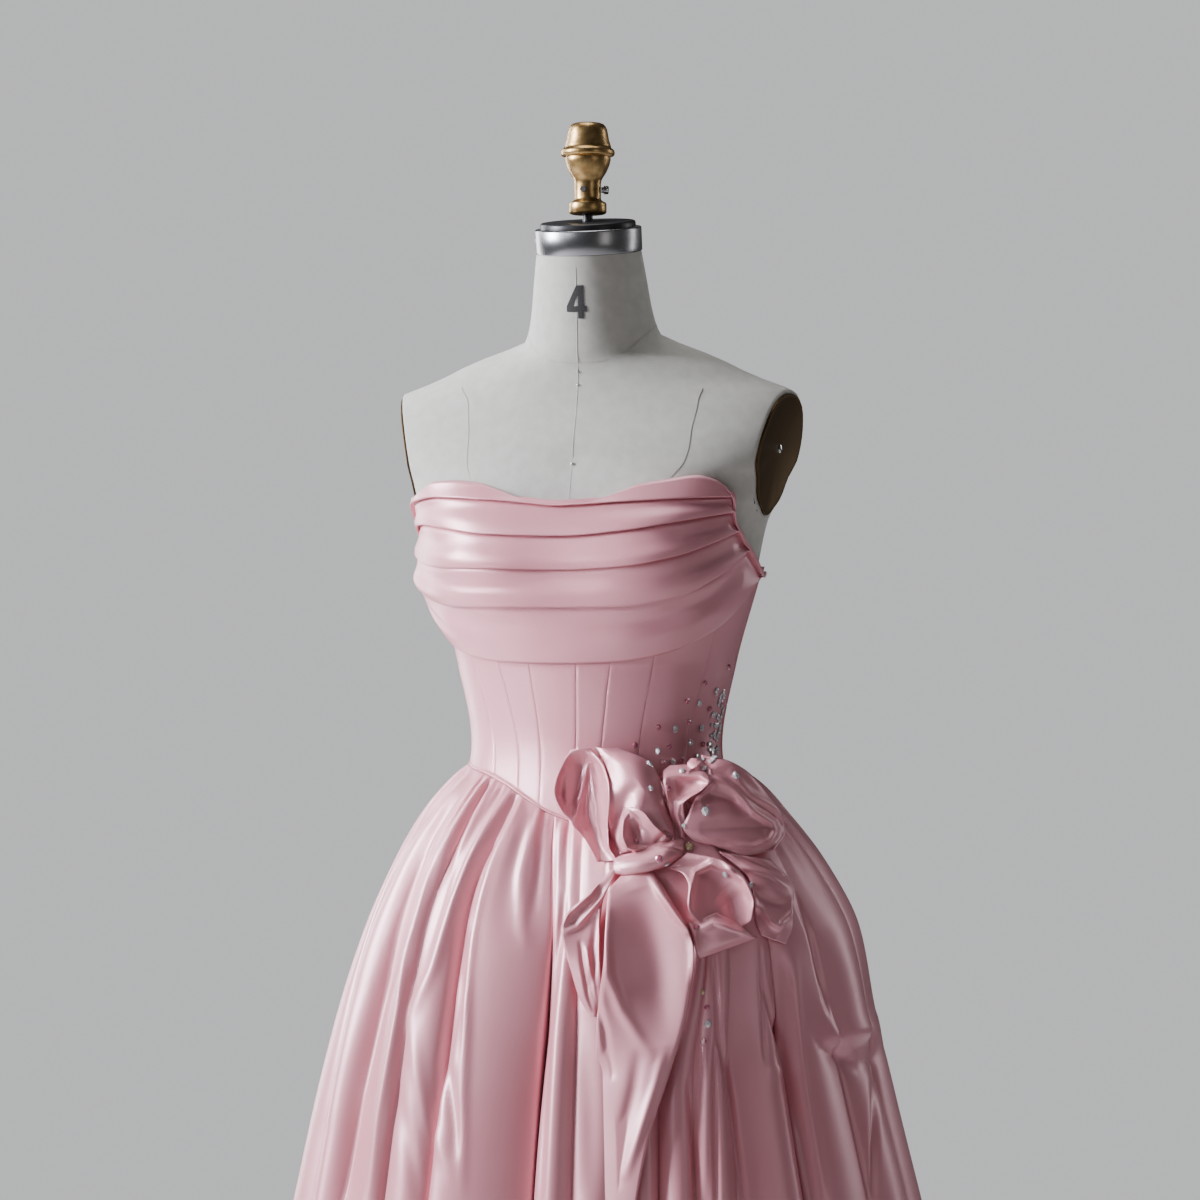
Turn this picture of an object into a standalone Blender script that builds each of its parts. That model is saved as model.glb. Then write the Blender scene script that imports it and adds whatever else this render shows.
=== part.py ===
"""A strapless evening gown of pink satin, worn on a limbless dress form with its stand.

Metres, +Z up, the gown's front towards -Y and the wearer's left towards +X. The origin is on
the floor under the pole. Angles are in degrees round the pole, 0 at the front and positive
towards the wearer's left. The gown is a set of thin walls: bodice panels, a pleated bust
drape, gathered skirt panels and a rosette of folded satin on the left hip.
"""

import math
from collections import namedtuple

import bmesh
import bpy
import numpy as np

SEAM_GAP = 0.0003
BODICE_EASE = 0.0012
BODICE_WALL = 0.0026
BODICE_OUT = BODICE_EASE + BODICE_WALL
SKIRT_WALL = 0.002
DRAPE_INSIDE = BODICE_OUT + 0.0016
DRAPE_RECESS = 0.0074
DRAPE_PROUD = 0.0102
PLEAT_CLOSEST = 0.0012
HEM_HEIGHT = 0.012
BUST_RISE = 0.030
PETAL_WALL = 0.0024

POLE_RADIUS = 0.0125
FLANGE_RADIUS = 0.050
FLANGE_THICKNESS = 0.006
BASE_RADIUS = 0.210
BASE_THICKNESS = 0.010
BASE_HUB_RADIUS = 0.032
BASE_HUB_TOP = 0.034
FORM_BOTTOM = 0.800
NECK_TOP = 1.543
NECK_TILT = math.radians(9)
NECK_BAND_RADIUS = 0.0525
NECK_BAND_HEIGHT = 0.024
NECK_CAP_RADIUS = 0.047
NECK_CAP_HEIGHT = 0.006
ROD_RADIUS = 0.005
FINIAL_FOOT = 1.5795
ARM_PLATE_ACROSS = 0.185
ARM_PLATE_BEHIND = 0.0195
ARM_PLATE_HEIGHT = 1.3455
ARM_CUT_ABOVE = 1.22
ARM_PLATE_TURN = math.radians(10)
ARM_PLATE_DROOP = math.radians(10)
ARM_PLATE_SHARE = 0.94
ARM_PLATE_WALL = 0.0028

# The dress form: one row for each level, as ellipse halves; lean tips a ring forward or back.
Section = namedtuple("Section", "height half_width front back centre lean")
FORM_SECTIONS = [
    Section(0.800, 0.1600, 0.098, 0.112, 0.030, 0.00),
    Section(0.880, 0.1700, 0.108, 0.122, 0.030, 0.00),
    Section(0.960, 0.1520, 0.102, 0.106, 0.029, 0.00),
    Section(1.060, 0.1215, 0.090, 0.086, 0.028, 0.00),
    Section(1.140, 0.1355, 0.099, 0.094, 0.027, 0.00),
    Section(1.230, 0.1610, 0.104, 0.102, 0.025, 0.00),
    Section(1.283, 0.1740, 0.098, 0.104, 0.023, 0.00),
    Section(1.300, 0.1850, 0.094, 0.103, 0.022, 0.01),
    Section(1.320, 0.1970, 0.089, 0.101, 0.021, 0.03),
    Section(1.340, 0.2240, 0.084, 0.098, 0.021, 0.05),
    Section(1.365, 0.2360, 0.077, 0.093, 0.020, 0.07),
    Section(1.385, 0.2300, 0.070, 0.086, 0.020, 0.10),
    Section(1.405, 0.2000, 0.064, 0.078, 0.019, 0.14),
    Section(1.420, 0.1600, 0.060, 0.072, 0.018, 0.18),
    Section(1.434, 0.1300, 0.058, 0.068, 0.017, 0.22),
    Section(1.446, 0.0970, 0.057, 0.065, 0.016, 0.26),
    Section(1.454, 0.0700, 0.058, 0.062, 0.015, 0.30),
    Section(1.480, 0.0605, 0.056, 0.058, 0.011, 0.24),
    Section(1.515, 0.0555, 0.053, 0.054, 0.005, 0.18),
    Section(1.543, 0.0515, 0.051, 0.051, 0.000, 0.157),
]

FORM_STEP = 15
FORM_EXTRA_LEVELS = (0.92, 0.99, 1.015, 1.038, 1.08, 1.11, 1.17, 1.195, 1.255)

# The bust swells most at this angle on each side and fades out at its edge. Cloth bridges
# the hollow between the two sides, so each surface keeps its own share of the rise there.
BUST_ANGLE = 35
BUST_EDGE = 78
BUST_BRIDGE = {"form": 0.05, "bodice": 0.35, "drape": 0.50}
BustHeight = namedtuple("BustHeight", "height share")
BUST_HEIGHTS = [
    BustHeight(1.14, 0.00),
    BustHeight(1.18, 0.45),
    BustHeight(1.22, 0.90),
    BustHeight(1.24, 1.00),
    BustHeight(1.27, 0.85),
    BustHeight(1.30, 0.50),
    BustHeight(1.33, 0.22),
    BustHeight(1.36, 0.05),
    BustHeight(1.39, 0.00),
]

# The basque waist: the seam drops to a point at the front.
WaistPoint = namedtuple("WaistPoint", "angle height")
WAIST_SEAM = [
    WaistPoint(0, 0.9900),
    WaistPoint(10, 0.9990),
    WaistPoint(20, 1.0110),
    WaistPoint(30, 1.0220),
    WaistPoint(45, 1.0320),
    WaistPoint(60, 1.0370),
    WaistPoint(76, 1.0405),
    WaistPoint(90, 1.0420),
    WaistPoint(180, 1.0450),
]

# The neckline: a sweetheart in front, low under the arms and straight behind.
NeckPoint = namedtuple("NeckPoint", "angle height")
NECKLINE = [
    NeckPoint(-180, 1.2290),
    NeckPoint(-106, 1.2290),
    NeckPoint(-94, 1.2450),
    NeckPoint(-84, 1.2680),
    NeckPoint(-74, 1.2860),
    NeckPoint(-63, 1.3005),
    NeckPoint(-53, 1.3110),
    NeckPoint(-45, 1.3185),
    NeckPoint(-36, 1.3200),
    NeckPoint(-28, 1.3180),
    NeckPoint(-20, 1.3090),
    NeckPoint(-11, 1.2970),
    NeckPoint(-3, 1.2935),
    NeckPoint(6, 1.2955),
    NeckPoint(16, 1.3075),
    NeckPoint(21, 1.3150),
    NeckPoint(28, 1.3195),
    NeckPoint(36, 1.3235),
    NeckPoint(44, 1.3185),
    NeckPoint(54, 1.2995),
    NeckPoint(62, 1.2710),
    NeckPoint(69, 1.2555),
    NeckPoint(78, 1.2400),
    NeckPoint(88, 1.2290),
    NeckPoint(180, 1.2290),
]

# The bust drape's folded edges, from its first lap down to its lower edge, as heights.
DrapeLine = namedtuple("DrapeLine", "angle first second third fourth lowest stand")
DRAPE_LINES = [
    DrapeLine(-93, 1.2600, 1.2510, 1.2400, 1.2260, 1.2090, 0.000),
    DrapeLine(-77, 1.2900, 1.2710, 1.2470, 1.2160, 1.1760, 0.014),
    DrapeLine(-60, 1.2990, 1.2755, 1.2370, 1.2000, 1.1560, 0.008),
    DrapeLine(-45, 1.3030, 1.2720, 1.2335, 1.1955, 1.1470, 0.003),
    DrapeLine(-25, 1.3000, 1.2655, 1.2325, 1.1950, 1.1420, 0.002),
    DrapeLine(0, 1.2940, 1.2635, 1.2310, 1.1950, 1.1410, 0.002),
    DrapeLine(20, 1.2975, 1.2685, 1.2340, 1.1955, 1.1425, 0.002),
    DrapeLine(40, 1.3005, 1.2780, 1.2445, 1.2035, 1.1510, 0.002),
    DrapeLine(55, 1.3015, 1.2850, 1.2595, 1.2225, 1.1655, 0.003),
    DrapeLine(65, 1.3020, 1.2880, 1.2700, 1.2395, 1.1790, 0.003),
    DrapeLine(78, 1.3020, 1.2900, 1.2780, 1.2600, 1.2050, 0.002),
    DrapeLine(90, 1.3020, 1.2900, 1.2780, 1.2600, 1.2270, 0.001),
    DrapeLine(106, 1.3020, 1.2900, 1.2780, 1.2600, 1.2270, 0.000),
]
DRAPE_FROM = -93
DRAPE_TO = 98
DRAPE_COLUMNS = 35
PLEAT_ROWS = (0.0, 0.45, 1.0)

# The bodice's upright seams, as angles at the waist, below the drape and at the neckline.
BodiceSeam = namedtuple("BodiceSeam", "waist middle top")
BODICE_SEAMS = [
    BodiceSeam(-180, -180, -180),
    BodiceSeam(-138, -140, -142),
    BodiceSeam(-92, -94, -96),
    BodiceSeam(-40, -51, -62),
    BodiceSeam(-24, -33, -40),
    BodiceSeam(-13, -17, -20),
    BodiceSeam(1, 3, 4),
    BodiceSeam(11, 17, 22),
    BodiceSeam(29, 36, 42),
    BodiceSeam(54, 63, 68),
    BodiceSeam(94, 96, 98),
    BodiceSeam(138, 140, 142),
    BodiceSeam(180, 180, 180),
]
BODICE_PANELS = (
    "bodice_back_right",
    "bodice_back_side_right",
    "bodice_side_right",
    "bodice_side_front_right",
    "bodice_front_right",
    "bodice_centre_front_right",
    "bodice_centre_front_left",
    "bodice_front_left",
    "bodice_side_front_left",
    "bodice_side_left",
    "bodice_back_side_left",
    "bodice_back_left",
)
BODICE_SEAM_MIDDLE = 0.45
BODICE_COLUMNS = (0.0, 0.25, 0.5, 0.75, 1.0)
BODICE_ROWS = (0.0, 0.09, 0.20, 0.32, 0.42, 0.50, 0.58, 0.66, 0.75, 0.84, 0.92, 1.0)

PLACKET_HALF_WIDTH = 0.010
PLACKET_WALL = 0.0014
PLACKET_LIFT = 0.0005
PLACKET_END = 0.005

# How far the skirt's crests stand beyond the waist seam, by the drop below that seam.
Flare = namedtuple("Flare", "drop front right left back")
SKIRT_FLARE = [
    Flare(0.000, 0.000, 0.000, 0.000, 0.000),
    Flare(0.012, 0.010, 0.017, 0.030, 0.014),
    Flare(0.050, 0.032, 0.050, 0.066, 0.048),
    Flare(0.100, 0.054, 0.079, 0.104, 0.080),
    Flare(0.160, 0.072, 0.105, 0.133, 0.110),
    Flare(0.240, 0.092, 0.130, 0.148, 0.140),
    Flare(0.320, 0.110, 0.150, 0.168, 0.165),
    Flare(0.420, 0.130, 0.173, 0.194, 0.190),
    Flare(1.040, 0.302, 0.328, 0.348, 0.362),
]

# The skirt's folds: where each valley lies at four drops, and how deep it is. The crest of
# the fold that follows lies at the share `crest` of the way to the next valley.
Fold = namedtuple("Fold", "waist upper lower hem upper_depth lower_depth hem_depth crest")
FOLD_DROPS = (0.0, 0.12, 0.30, 1.04)
SKIRT_FOLDS = [
    Fold(-84, -77.0, -69.0, -60, 0.009, 0.014, 0.024, 0.55),
    Fold(-52, -59.0, -57.4, -51, 0.010, 0.015, 0.026, 0.80),
    Fold(-42, -44.0, -42.5, -40, 0.007, 0.010, 0.018, 0.50),
    Fold(-24, -31.0, -29.5, -27, 0.012, 0.016, 0.024, 0.22),
    Fold(-6, -1.2, -2.4, -4, 0.014, 0.026, 0.036, 0.55),
    Fold(6, 7.6, 8.2, 9, 0.006, 0.010, 0.018, 0.50),
    Fold(17, 20.0, 19.5, 19, 0.006, 0.010, 0.022, 0.60),
    Fold(35, 42.0, 30.5, 27, 0.008, 0.016, 0.022, 0.50),
    Fold(41, 44.5, 38.5, 36, 0.005, 0.008, 0.016, 0.50),
    Fold(48, 50.0, 46.8, 46, 0.006, 0.010, 0.020, 0.60),
    Fold(58, 59.0, 61.5, 62, 0.010, 0.020, 0.030, 0.35),
    Fold(71, 71.0, 75.0, 74, 0.005, 0.010, 0.022, 0.50),
    Fold(84, 86.0, 88.0, 88, 0.006, 0.010, 0.024, 0.50),
    Fold(97, 99.0, 103.0, 101, 0.008, 0.014, 0.026, 0.45),
    Fold(110, 112.0, 114.0, 114, 0.009, 0.013, 0.022, 0.55),
    Fold(122, 124.0, 127.0, 126, 0.007, 0.015, 0.028, 0.50),
    Fold(138, 139.0, 140.0, 140, 0.010, 0.012, 0.023, 0.60),
    Fold(151, 152.0, 153.0, 154, 0.008, 0.014, 0.027, 0.45),
    Fold(164, 165.0, 166.0, 167, 0.009, 0.013, 0.024, 0.50),
    Fold(180, 180.0, 180.0, 180, 0.012, 0.017, 0.030, 0.50),
    Fold(193, 194.0, 194.0, 193, 0.008, 0.012, 0.022, 0.55),
    Fold(206, 207.0, 207.0, 206, 0.009, 0.015, 0.028, 0.45),
    Fold(221, 221.0, 221.0, 220, 0.010, 0.013, 0.024, 0.50),
    Fold(234, 234.0, 235.0, 234, 0.007, 0.012, 0.026, 0.60),
    Fold(246, 248.0, 249.0, 249, 0.009, 0.015, 0.023, 0.50),
    Fold(257, 260.0, 263.0, 265, 0.008, 0.012, 0.025, 0.45),
    Fold(267, 271.0, 276.0, 281, 0.009, 0.014, 0.022, 0.50),
]
SKIRT_PANELS = (
    ("skirt_front_right", 0, 4),
    ("skirt_front_left", 4, 10),
    ("skirt_side_left", 10, 16),
    ("skirt_back_left", 16, 19),
    ("skirt_back_right", 19, 22),
    ("skirt_side_right", 22, 27),
)
FOLD_COLUMNS = (0.0, 0.25, 0.5, 0.75)
SKIRT_ROWS = (0.0, 0.012, 0.032, 0.06, 0.10, 0.155, 0.215, 0.25, 0.275, 0.36, 0.54, 0.77, 1.0)
FOLD_ROUNDNESS = 0.62
GATHER_DROPS = (0.0, 0.012, 0.050, 0.120, 1.04)
GATHER_DEPTHS = (0.0004, 0.0030, 0.0034, 0.0, 0.0)
DEPTH_AT_SEAM = 0.0004
DEPTH_AT_GATHERS = 0.0022
GATHER_DROP = 0.014

# The picked-up puff on the left hip, tucked in above a pocket fold.
PUFF_ANGLE = 80
PUFF_HALF_ANGLE = 15
PuffRow = namedtuple("PuffRow", "drop rise")
PUFF_ROWS = [
    PuffRow(0.00, 0.0),
    PuffRow(0.08, 0.0),
    PuffRow(0.16, 0.004),
    PuffRow(0.22, 0.009),
    PuffRow(0.25, 0.010),
    PuffRow(0.272, -0.004),
    PuffRow(0.30, -0.003),
    PuffRow(0.40, 0.0),
    PuffRow(1.04, 0.0),
]

# The rosette is laid out on a plane that faces the left front and bent over the hip.
ROSETTE_TURN = math.radians(15)
ROSETTE_ACROSS = 0.048
ROSETTE_HEIGHT = 0.9696
ROSETTE_REST = 0.985
ROSETTE_LEAN = 0.35
ACROSS = np.array([math.cos(ROSETTE_TURN), math.sin(ROSETTE_TURN), 0.0])
OUTWARD = np.array([math.sin(ROSETTE_TURN), -math.cos(ROSETTE_TURN), 0.0])
PETAL_COLUMNS = 5

# Each loop and tail of the rosette: a row for each section across it, in millimetres from the
# rosette's middle, with how far its two edges and its middle stand off the skirt.
Petal = namedtuple("Petal", "left left_up right right_up left_lift middle_lift right_lift")
PETALS = {
    "calla": [
        Petal(-65, 89, -46, 90, 12, 16, 12),
        Petal(-74, 74, -33, 73, 16, 8, 28),
        Petal(-81, 50, -29, 56, 20, 6, 32),
        Petal(-76, 35, -28, 37, 20, 6, 30),
        Petal(-65, 20, -30, 20, 18, 7, 26),
        Petal(-52, 4, -29, 0, 14, 8, 20),
        Petal(-40, -17, -20, -15, 7, 9, 8),
    ],
    "top_puff": [
        Petal(-40, 91, -20, 88, 10, 16, 10),
        Petal(-34, 74, 9, 76, 18, 32, 16),
        Petal(-30, 56, 21, 56, 22, 38, 20),
        Petal(-28, 33, 25, 35, 20, 36, 22),
        Petal(-25, 9, 34, 17, 12, 28, 18),
        Petal(-19, -9, 33, 2, 5, 12, 8),
    ],
    "scallop": [
        Petal(20, 71, 48, 72, 12, 20, 12),
        Petal(24, 61, 67, 61, 16, 28, 20),
        Petal(26, 46, 60, 50, 18, 30, 24),
        Petal(28, 32, 48, 33, 16, 26, 20),
        Petal(34, 13, 46, 7, 6, 9, 6),
    ],
    "small_loop": [
        Petal(50, 81, 60, 81, 8, 13, 8),
        Petal(46, 75, 65, 73, 10, 18, 10),
        Petal(46, 65, 67, 64, 10, 16, 10),
        Petal(37, 46, 56, 45, 7, 8, 7),
    ],
    "big_lobe": [
        Petal(61, 69, 64, 84, 10, 16, 9),
        Petal(56, 48, 84, 78, 14, 28, 12),
        Petal(48, 28, 102, 70, 16, 34, 12),
        Petal(46, 13, 123, 46, 14, 36, 10),
        Petal(63, 4, 137, 26, 10, 30, 10),
        Petal(86, -3, 140, 9, 7, 20, 9),
        Petal(104, -11, 128, -4, 5, 8, 6),
    ],
    "bowl": [
        Petal(26, -22, 46, -7, 6, 12, 10),
        Petal(41, -26, 76, -13, 18, 12, 24),
        Petal(46, -37, 100, -30, 24, 10, 30),
        Petal(45, -52, 107, -50, 24, 9, 32),
        Petal(50, -66, 105, -67, 18, 9, 26),
        Petal(65, -78, 95, -78, 6, 8, 8),
    ],
    "flap": [
        Petal(46, -74, 68, -65, 7, 12, 10),
        Petal(51, -89, 91, -73, 9, 18, 12),
        Petal(56, -102, 109, -85, 6, 10, 7),
    ],
    "crumple": [
        Petal(76, -7, 126, -15, 6, 10, 7),
        Petal(104, -32, 148, -42, 8, 16, 7),
        Petal(109, -52, 146, -61, 9, 6, 12),
        Petal(110, -70, 146, -75, 6, 13, 7),
        Petal(115, -84, 139, -93, 4, 7, 5),
    ],
    "leaf": [
        Petal(-17, -28, 12, -21, 6, 14, 8),
        Petal(-30, -46, 30, -51, 8, 22, 14),
        Petal(-32, -74, 45, -76, 8, 24, 17),
        Petal(-30, -107, 51, -102, 7, 22, 15),
        Petal(-26, -140, 46, -140, 5, 17, 12),
        Petal(-17, -172, 35, -169, 4, 12, 8),
        Petal(4, -203, 25, -202, 3, 6, 4),
    ],
    "tail": [
        Petal(-43, -39, -26, -33, 6, 9, 6),
        Petal(-68, -59, -34, -58, 9, 14, 8),
        Petal(-73, -76, -37, -78, 10, 12, 8),
        Petal(-72, -96, -37, -100, 9, 11, 7),
        Petal(-65, -117, -36, -119, 7, 10, 7),
        Petal(-56, -145, -34, -145, 5, 8, 6),
        Petal(-46, -159, -36, -160, 4, 6, 4),
    ],
    "knot": [
        Petal(-37, -35, -39, -20, 6, 12, 7),
        Petal(-20, -33, -26, -13, 14, 24, 14),
        Petal(0, -30, -4, -9, 16, 28, 16),
        Petal(22, -26, 20, 2, 14, 28, 16),
        Petal(43, -13, 43, 4, 6, 12, 7),
    ],
    "inner_loop": [
        Petal(-17, 22, -7, 35, 26, 32, 26),
        Petal(-17, 9, 7, 24, 28, 38, 28),
        Petal(-9, -2, 20, 13, 20, 30, 22),
        Petal(6, -13, 30, 4, 8, 14, 10),
    ],
}
# The gathered roots that all the loops are sewn into, flat against the skirt.
ROSETTE_BACKING = [
    Petal(-11, 41, 41, 46, 0, 0, 0),
    Petal(-33, 0, 71, 2, 0, 0, 0),
    Petal(-32, -39, 97, -45, 0, 0, 0),
    Petal(-13, -74, 82, -78, 0, 0, 0),
]
BACKING_GAP = 0.0004
BACKING_WALL = 0.008
BACKING_STEPS = 3
BACKING_COLUMNS = 9

# Turned profiles, from bottom to top.
Turned = namedtuple("Turned", "radius height")
FINIAL_PROFILE = [
    Turned(0.0160, 0.000),
    Turned(0.0185, 0.002),
    Turned(0.0185, 0.011),
    Turned(0.0150, 0.014),
    Turned(0.0130, 0.015),
    Turned(0.0130, 0.032),
    Turned(0.0165, 0.038),
    Turned(0.0205, 0.045),
    Turned(0.0225, 0.053),
    Turned(0.0225, 0.056),
    Turned(0.0262, 0.058),
    Turned(0.0265, 0.063),
    Turned(0.0228, 0.066),
    Turned(0.0205, 0.074),
    Turned(0.0185, 0.084),
    Turned(0.0150, 0.088),
    Turned(0.0080, 0.090),
]
SCREW_RADIUS = 0.0042
SCREW_LENGTH = 0.0075
SCREW_HEIGHT = FINIAL_FOOT + 0.024
SCREW_TURN = math.radians(15)

PINK = (0.72, 0.44, 0.46)
LINEN = (0.62, 0.62, 0.57)
BRASS = (0.55, 0.36, 0.12)
DARK_BRONZE = (0.060, 0.038, 0.016)
CHROME = (0.55, 0.55, 0.56)
BLACK = (0.02, 0.02, 0.02)
SILVER = (0.70, 0.70, 0.70)


def smooth(places, values, at):
    """A curve through values at places that never overshoots them, read at `at`."""
    places = np.asarray(places, float)
    values = np.asarray(values, float)
    at = np.clip(np.asarray(at, float), places[0], places[-1])
    step = np.diff(places)
    rise = np.diff(values) / step
    before, after = rise[:-1], rise[1:]
    total = np.where(before + after == 0, 1.0, before + after)
    inner = np.where(before * after > 0, 2 * before * after / total, 0.0)
    slope = np.concatenate([rise[:1], inner, rise[-1:]])
    i = np.clip(np.searchsorted(places, at, side="right") - 1, 0, len(step) - 1)
    t = (at - places[i]) / step[i]
    start = (1 + 2 * t) * (1 - t) ** 2 * values[i] + t * (1 - t) ** 2 * step[i] * slope[i]
    end = t * t * (3 - 2 * t) * values[i + 1] + t * t * (t - 1) * step[i] * slope[i + 1]
    return start + end


def column(rows, name):
    return [getattr(row, name) for row in rows]


def follow(rows, along, value, at):
    """The column `value` of a table, read smoothly at places in its column `along`."""
    return smooth(column(rows, along), column(rows, value), at)


def bust_across(angle, surface):
    """The share of the bust's rise at an angle from the front."""
    bridge = BUST_BRIDGE[surface]
    inner = bridge + (1 - bridge) * np.sin(math.pi / 2 * np.minimum(angle / BUST_ANGLE, 1)) ** 2
    beyond = np.clip((angle - BUST_ANGLE) / (BUST_EDGE - BUST_ANGLE), 0, 1)
    return inner * np.cos(math.pi / 2 * beyond) ** 2


def torso(angle, height, out=0.0, bust="form"):
    """Points on the dress form, or `out` beyond it."""
    angle, height = np.broadcast_arrays(np.asarray(angle, float), np.asarray(height, float))
    turn = np.radians(angle)
    front = follow(FORM_SECTIONS, "height", "front", height)
    back = follow(FORM_SECTIONS, "height", "back", height)
    reach = np.where(np.cos(turn) > 0, front, back) + out
    half = follow(FORM_SECTIONS, "height", "half_width", height) + out
    away = -reach * np.cos(turn)
    rise = bust_across(abs(angle), bust) * follow(BUST_HEIGHTS, "height", "share", height)
    x = half * np.sin(turn)
    y = follow(FORM_SECTIONS, "height", "centre", height) + away - BUST_RISE * rise
    z = height + follow(FORM_SECTIONS, "height", "lean", height) * away
    return np.stack([x, y, z], axis=-1)


def wrapped(angle):
    """An angle brought between -180 and 180 degrees."""
    return (np.asarray(angle, float) + 180) % 360 - 180


def waist_height(angle):
    return follow(WAIST_SEAM, "angle", "height", abs(wrapped(angle)))


def neck_height(angle):
    return follow(NECKLINE, "angle", "height", wrapped(angle))


def waist_outward(angle):
    """The level direction that points straight out of the waist seam."""
    height = waist_height(angle)
    turn = np.radians(angle)
    front = follow(FORM_SECTIONS, "height", "front", height)
    back = follow(FORM_SECTIONS, "height", "back", height)
    reach = np.where(np.cos(turn) > 0, front, back) + BODICE_OUT
    half = follow(FORM_SECTIONS, "height", "half_width", height) + BODICE_OUT
    out = np.stack([np.sin(turn) / half, -np.cos(turn) / reach, np.zeros_like(turn)], axis=-1)
    return out / np.linalg.norm(out, axis=-1, keepdims=True)


def flare(angle, drop):
    """How far the fold crests stand beyond the waist seam."""
    turn = np.radians(angle)
    right = follow(SKIRT_FLARE, "drop", "right", drop)
    left = follow(SKIRT_FLARE, "drop", "left", drop)
    front = follow(SKIRT_FLARE, "drop", "front", drop)
    back = follow(SKIRT_FLARE, "drop", "back", drop)
    side = np.where(np.sin(turn) < 0, right, left)
    end = np.where(np.cos(turn) > 0, front, back)
    return np.sin(turn) ** 2 * side + np.cos(turn) ** 2 * end


def puff(angle, drop):
    """The extra reach of the picked-up puff on the left hip."""
    aside = np.clip(abs(wrapped(angle) - PUFF_ANGLE) / PUFF_HALF_ANGLE, 0, 1)
    return follow(PUFF_ROWS, "drop", "rise", drop) * np.cos(aside * math.pi / 2) ** 2


def crest(angle, drop, inside=0.0):
    """Points on the smooth surface that the skirt's fold crests touch, or `inside` it."""
    angle, drop, inside = np.broadcast_arrays(angle, drop, inside)
    nudge = 0.004
    slope = (flare(angle, drop + nudge) - flare(angle, drop - nudge)) / (2 * nudge)
    slope = np.where(drop < nudge, slope * 2, slope)
    steep = np.sqrt(1 + slope**2)
    out = waist_outward(angle)
    point = torso(wrapped(angle), waist_height(angle), BODICE_OUT, "bodice")
    point = point + out * (flare(angle, drop) + puff(angle, drop) - inside / steep)[..., None]
    point[..., 2] -= drop + inside * slope / steep
    return point


def fold_columns(places, drop):
    """Valley angles and depths at places counted in folds, which may run past either end."""
    count = len(SKIRT_FOLDS)
    turns, index = np.divmod(places, count)
    angles = np.zeros(np.broadcast(places, drop).shape)
    depths = np.zeros_like(angles)
    depth_drops = (0.0, GATHER_DROP, *FOLD_DROPS[1:])
    for number, fold in enumerate(SKIRT_FOLDS):
        here = np.broadcast_to(index == number, angles.shape)
        path = smooth(FOLD_DROPS, (fold.waist, fold.upper, fold.lower, fold.hem), drop)
        sizes = (DEPTH_AT_SEAM, DEPTH_AT_GATHERS, fold.upper_depth, fold.lower_depth, fold.hem_depth)
        deep = smooth(depth_drops, sizes, drop)
        angles = np.where(here, path + 360 * turns, angles)
        depths = np.where(here, deep, depths)
    return angles, depths


def skirt(place, share):
    """The skirt's outer face: place counts folds, share runs from the waist seam to the hem."""
    place, share = np.broadcast_arrays(np.asarray(place, float), np.asarray(share, float))
    longest = WAIST_SEAM[-1].height - HEM_HEIGHT
    valley = np.floor(place)
    part = place - valley
    start, start_depth = fold_columns(valley, share * longest)
    end, end_depth = fold_columns(valley + 1, share * longest)
    angle = start + part * (end - start)
    drop = share * (waist_height(angle) - HEM_HEIGHT)
    crests = np.array(column(SKIRT_FOLDS, "crest"))[valley.astype(int) % len(SKIRT_FOLDS)]
    bent = np.clip(part, 1e-9, 1) ** (math.log(0.5) / np.log(crests))
    arch = np.sin(math.pi * bent) ** FOLD_ROUNDNESS
    depth = (start_depth + part * (end_depth - start_depth)) * (1 - arch)
    gathers = smooth(GATHER_DROPS, GATHER_DEPTHS, drop) * np.cos(2 * math.pi * part) ** 2
    return crest(angle, drop, depth + gathers)


def normals(surface, u, v, nudge_u, nudge_v, centre):
    """Unit normals of surface(u, v), facing away from the upright line through centre."""
    along_u = surface(u + nudge_u, v) - surface(u - nudge_u, v)
    along_v = surface(u, v + nudge_v) - surface(u, np.maximum(v - nudge_v, 0))
    out = np.cross(along_u, along_v)
    out /= np.linalg.norm(out, axis=-1, keepdims=True)
    away = surface(u, v) - centre
    away[..., 2] = 0
    return out * np.where((out * away).sum(axis=-1) < 0, -1.0, 1.0)[..., None]


def make_material(name, colour, roughness, metallic=0.0):
    material = bpy.data.materials.new(name)
    material.use_nodes = True
    shader = material.node_tree.nodes["Principled BSDF"]
    shader.inputs["Base Color"].default_value = (*colour, 1.0)
    shader.inputs["Roughness"].default_value = roughness
    shader.inputs["Metallic"].default_value = metallic
    return material


def make_object(name, body, material):
    """An object from a bmesh, shaded smooth but for its sharp edges."""
    bmesh.ops.recalc_face_normals(body, faces=body.faces)
    mesh = bpy.data.meshes.new(name)
    body.to_mesh(mesh)
    body.free()
    mesh.shade_smooth()
    mesh.set_sharp_from_angle(angle=math.radians(40))
    mesh.materials.append(material)
    thing = bpy.data.objects.new(name, mesh)
    bpy.context.scene.collection.objects.link(thing)
    return thing


def make_wall(name, outer, inner, material):
    """A closed wall between two grids of points of the same size."""
    body = bmesh.new()
    rows, columns = outer.shape[:2]
    faces = [[[body.verts.new(point) for point in row] for row in grid] for grid in (outer, inner)]
    for i in range(rows - 1):
        for j in range(columns - 1):
            for grid in faces:
                body.faces.new((grid[i][j], grid[i][j + 1], grid[i + 1][j + 1], grid[i + 1][j]))
    front, back = faces
    for i in (0, rows - 1):
        for j in range(columns - 1):
            body.faces.new((front[i][j], front[i][j + 1], back[i][j + 1], back[i][j]))
    for j in (0, columns - 1):
        for i in range(rows - 1):
            body.faces.new((front[i][j], front[i + 1][j], back[i + 1][j], back[i][j]))
    return make_object(name, body, material)


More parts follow.
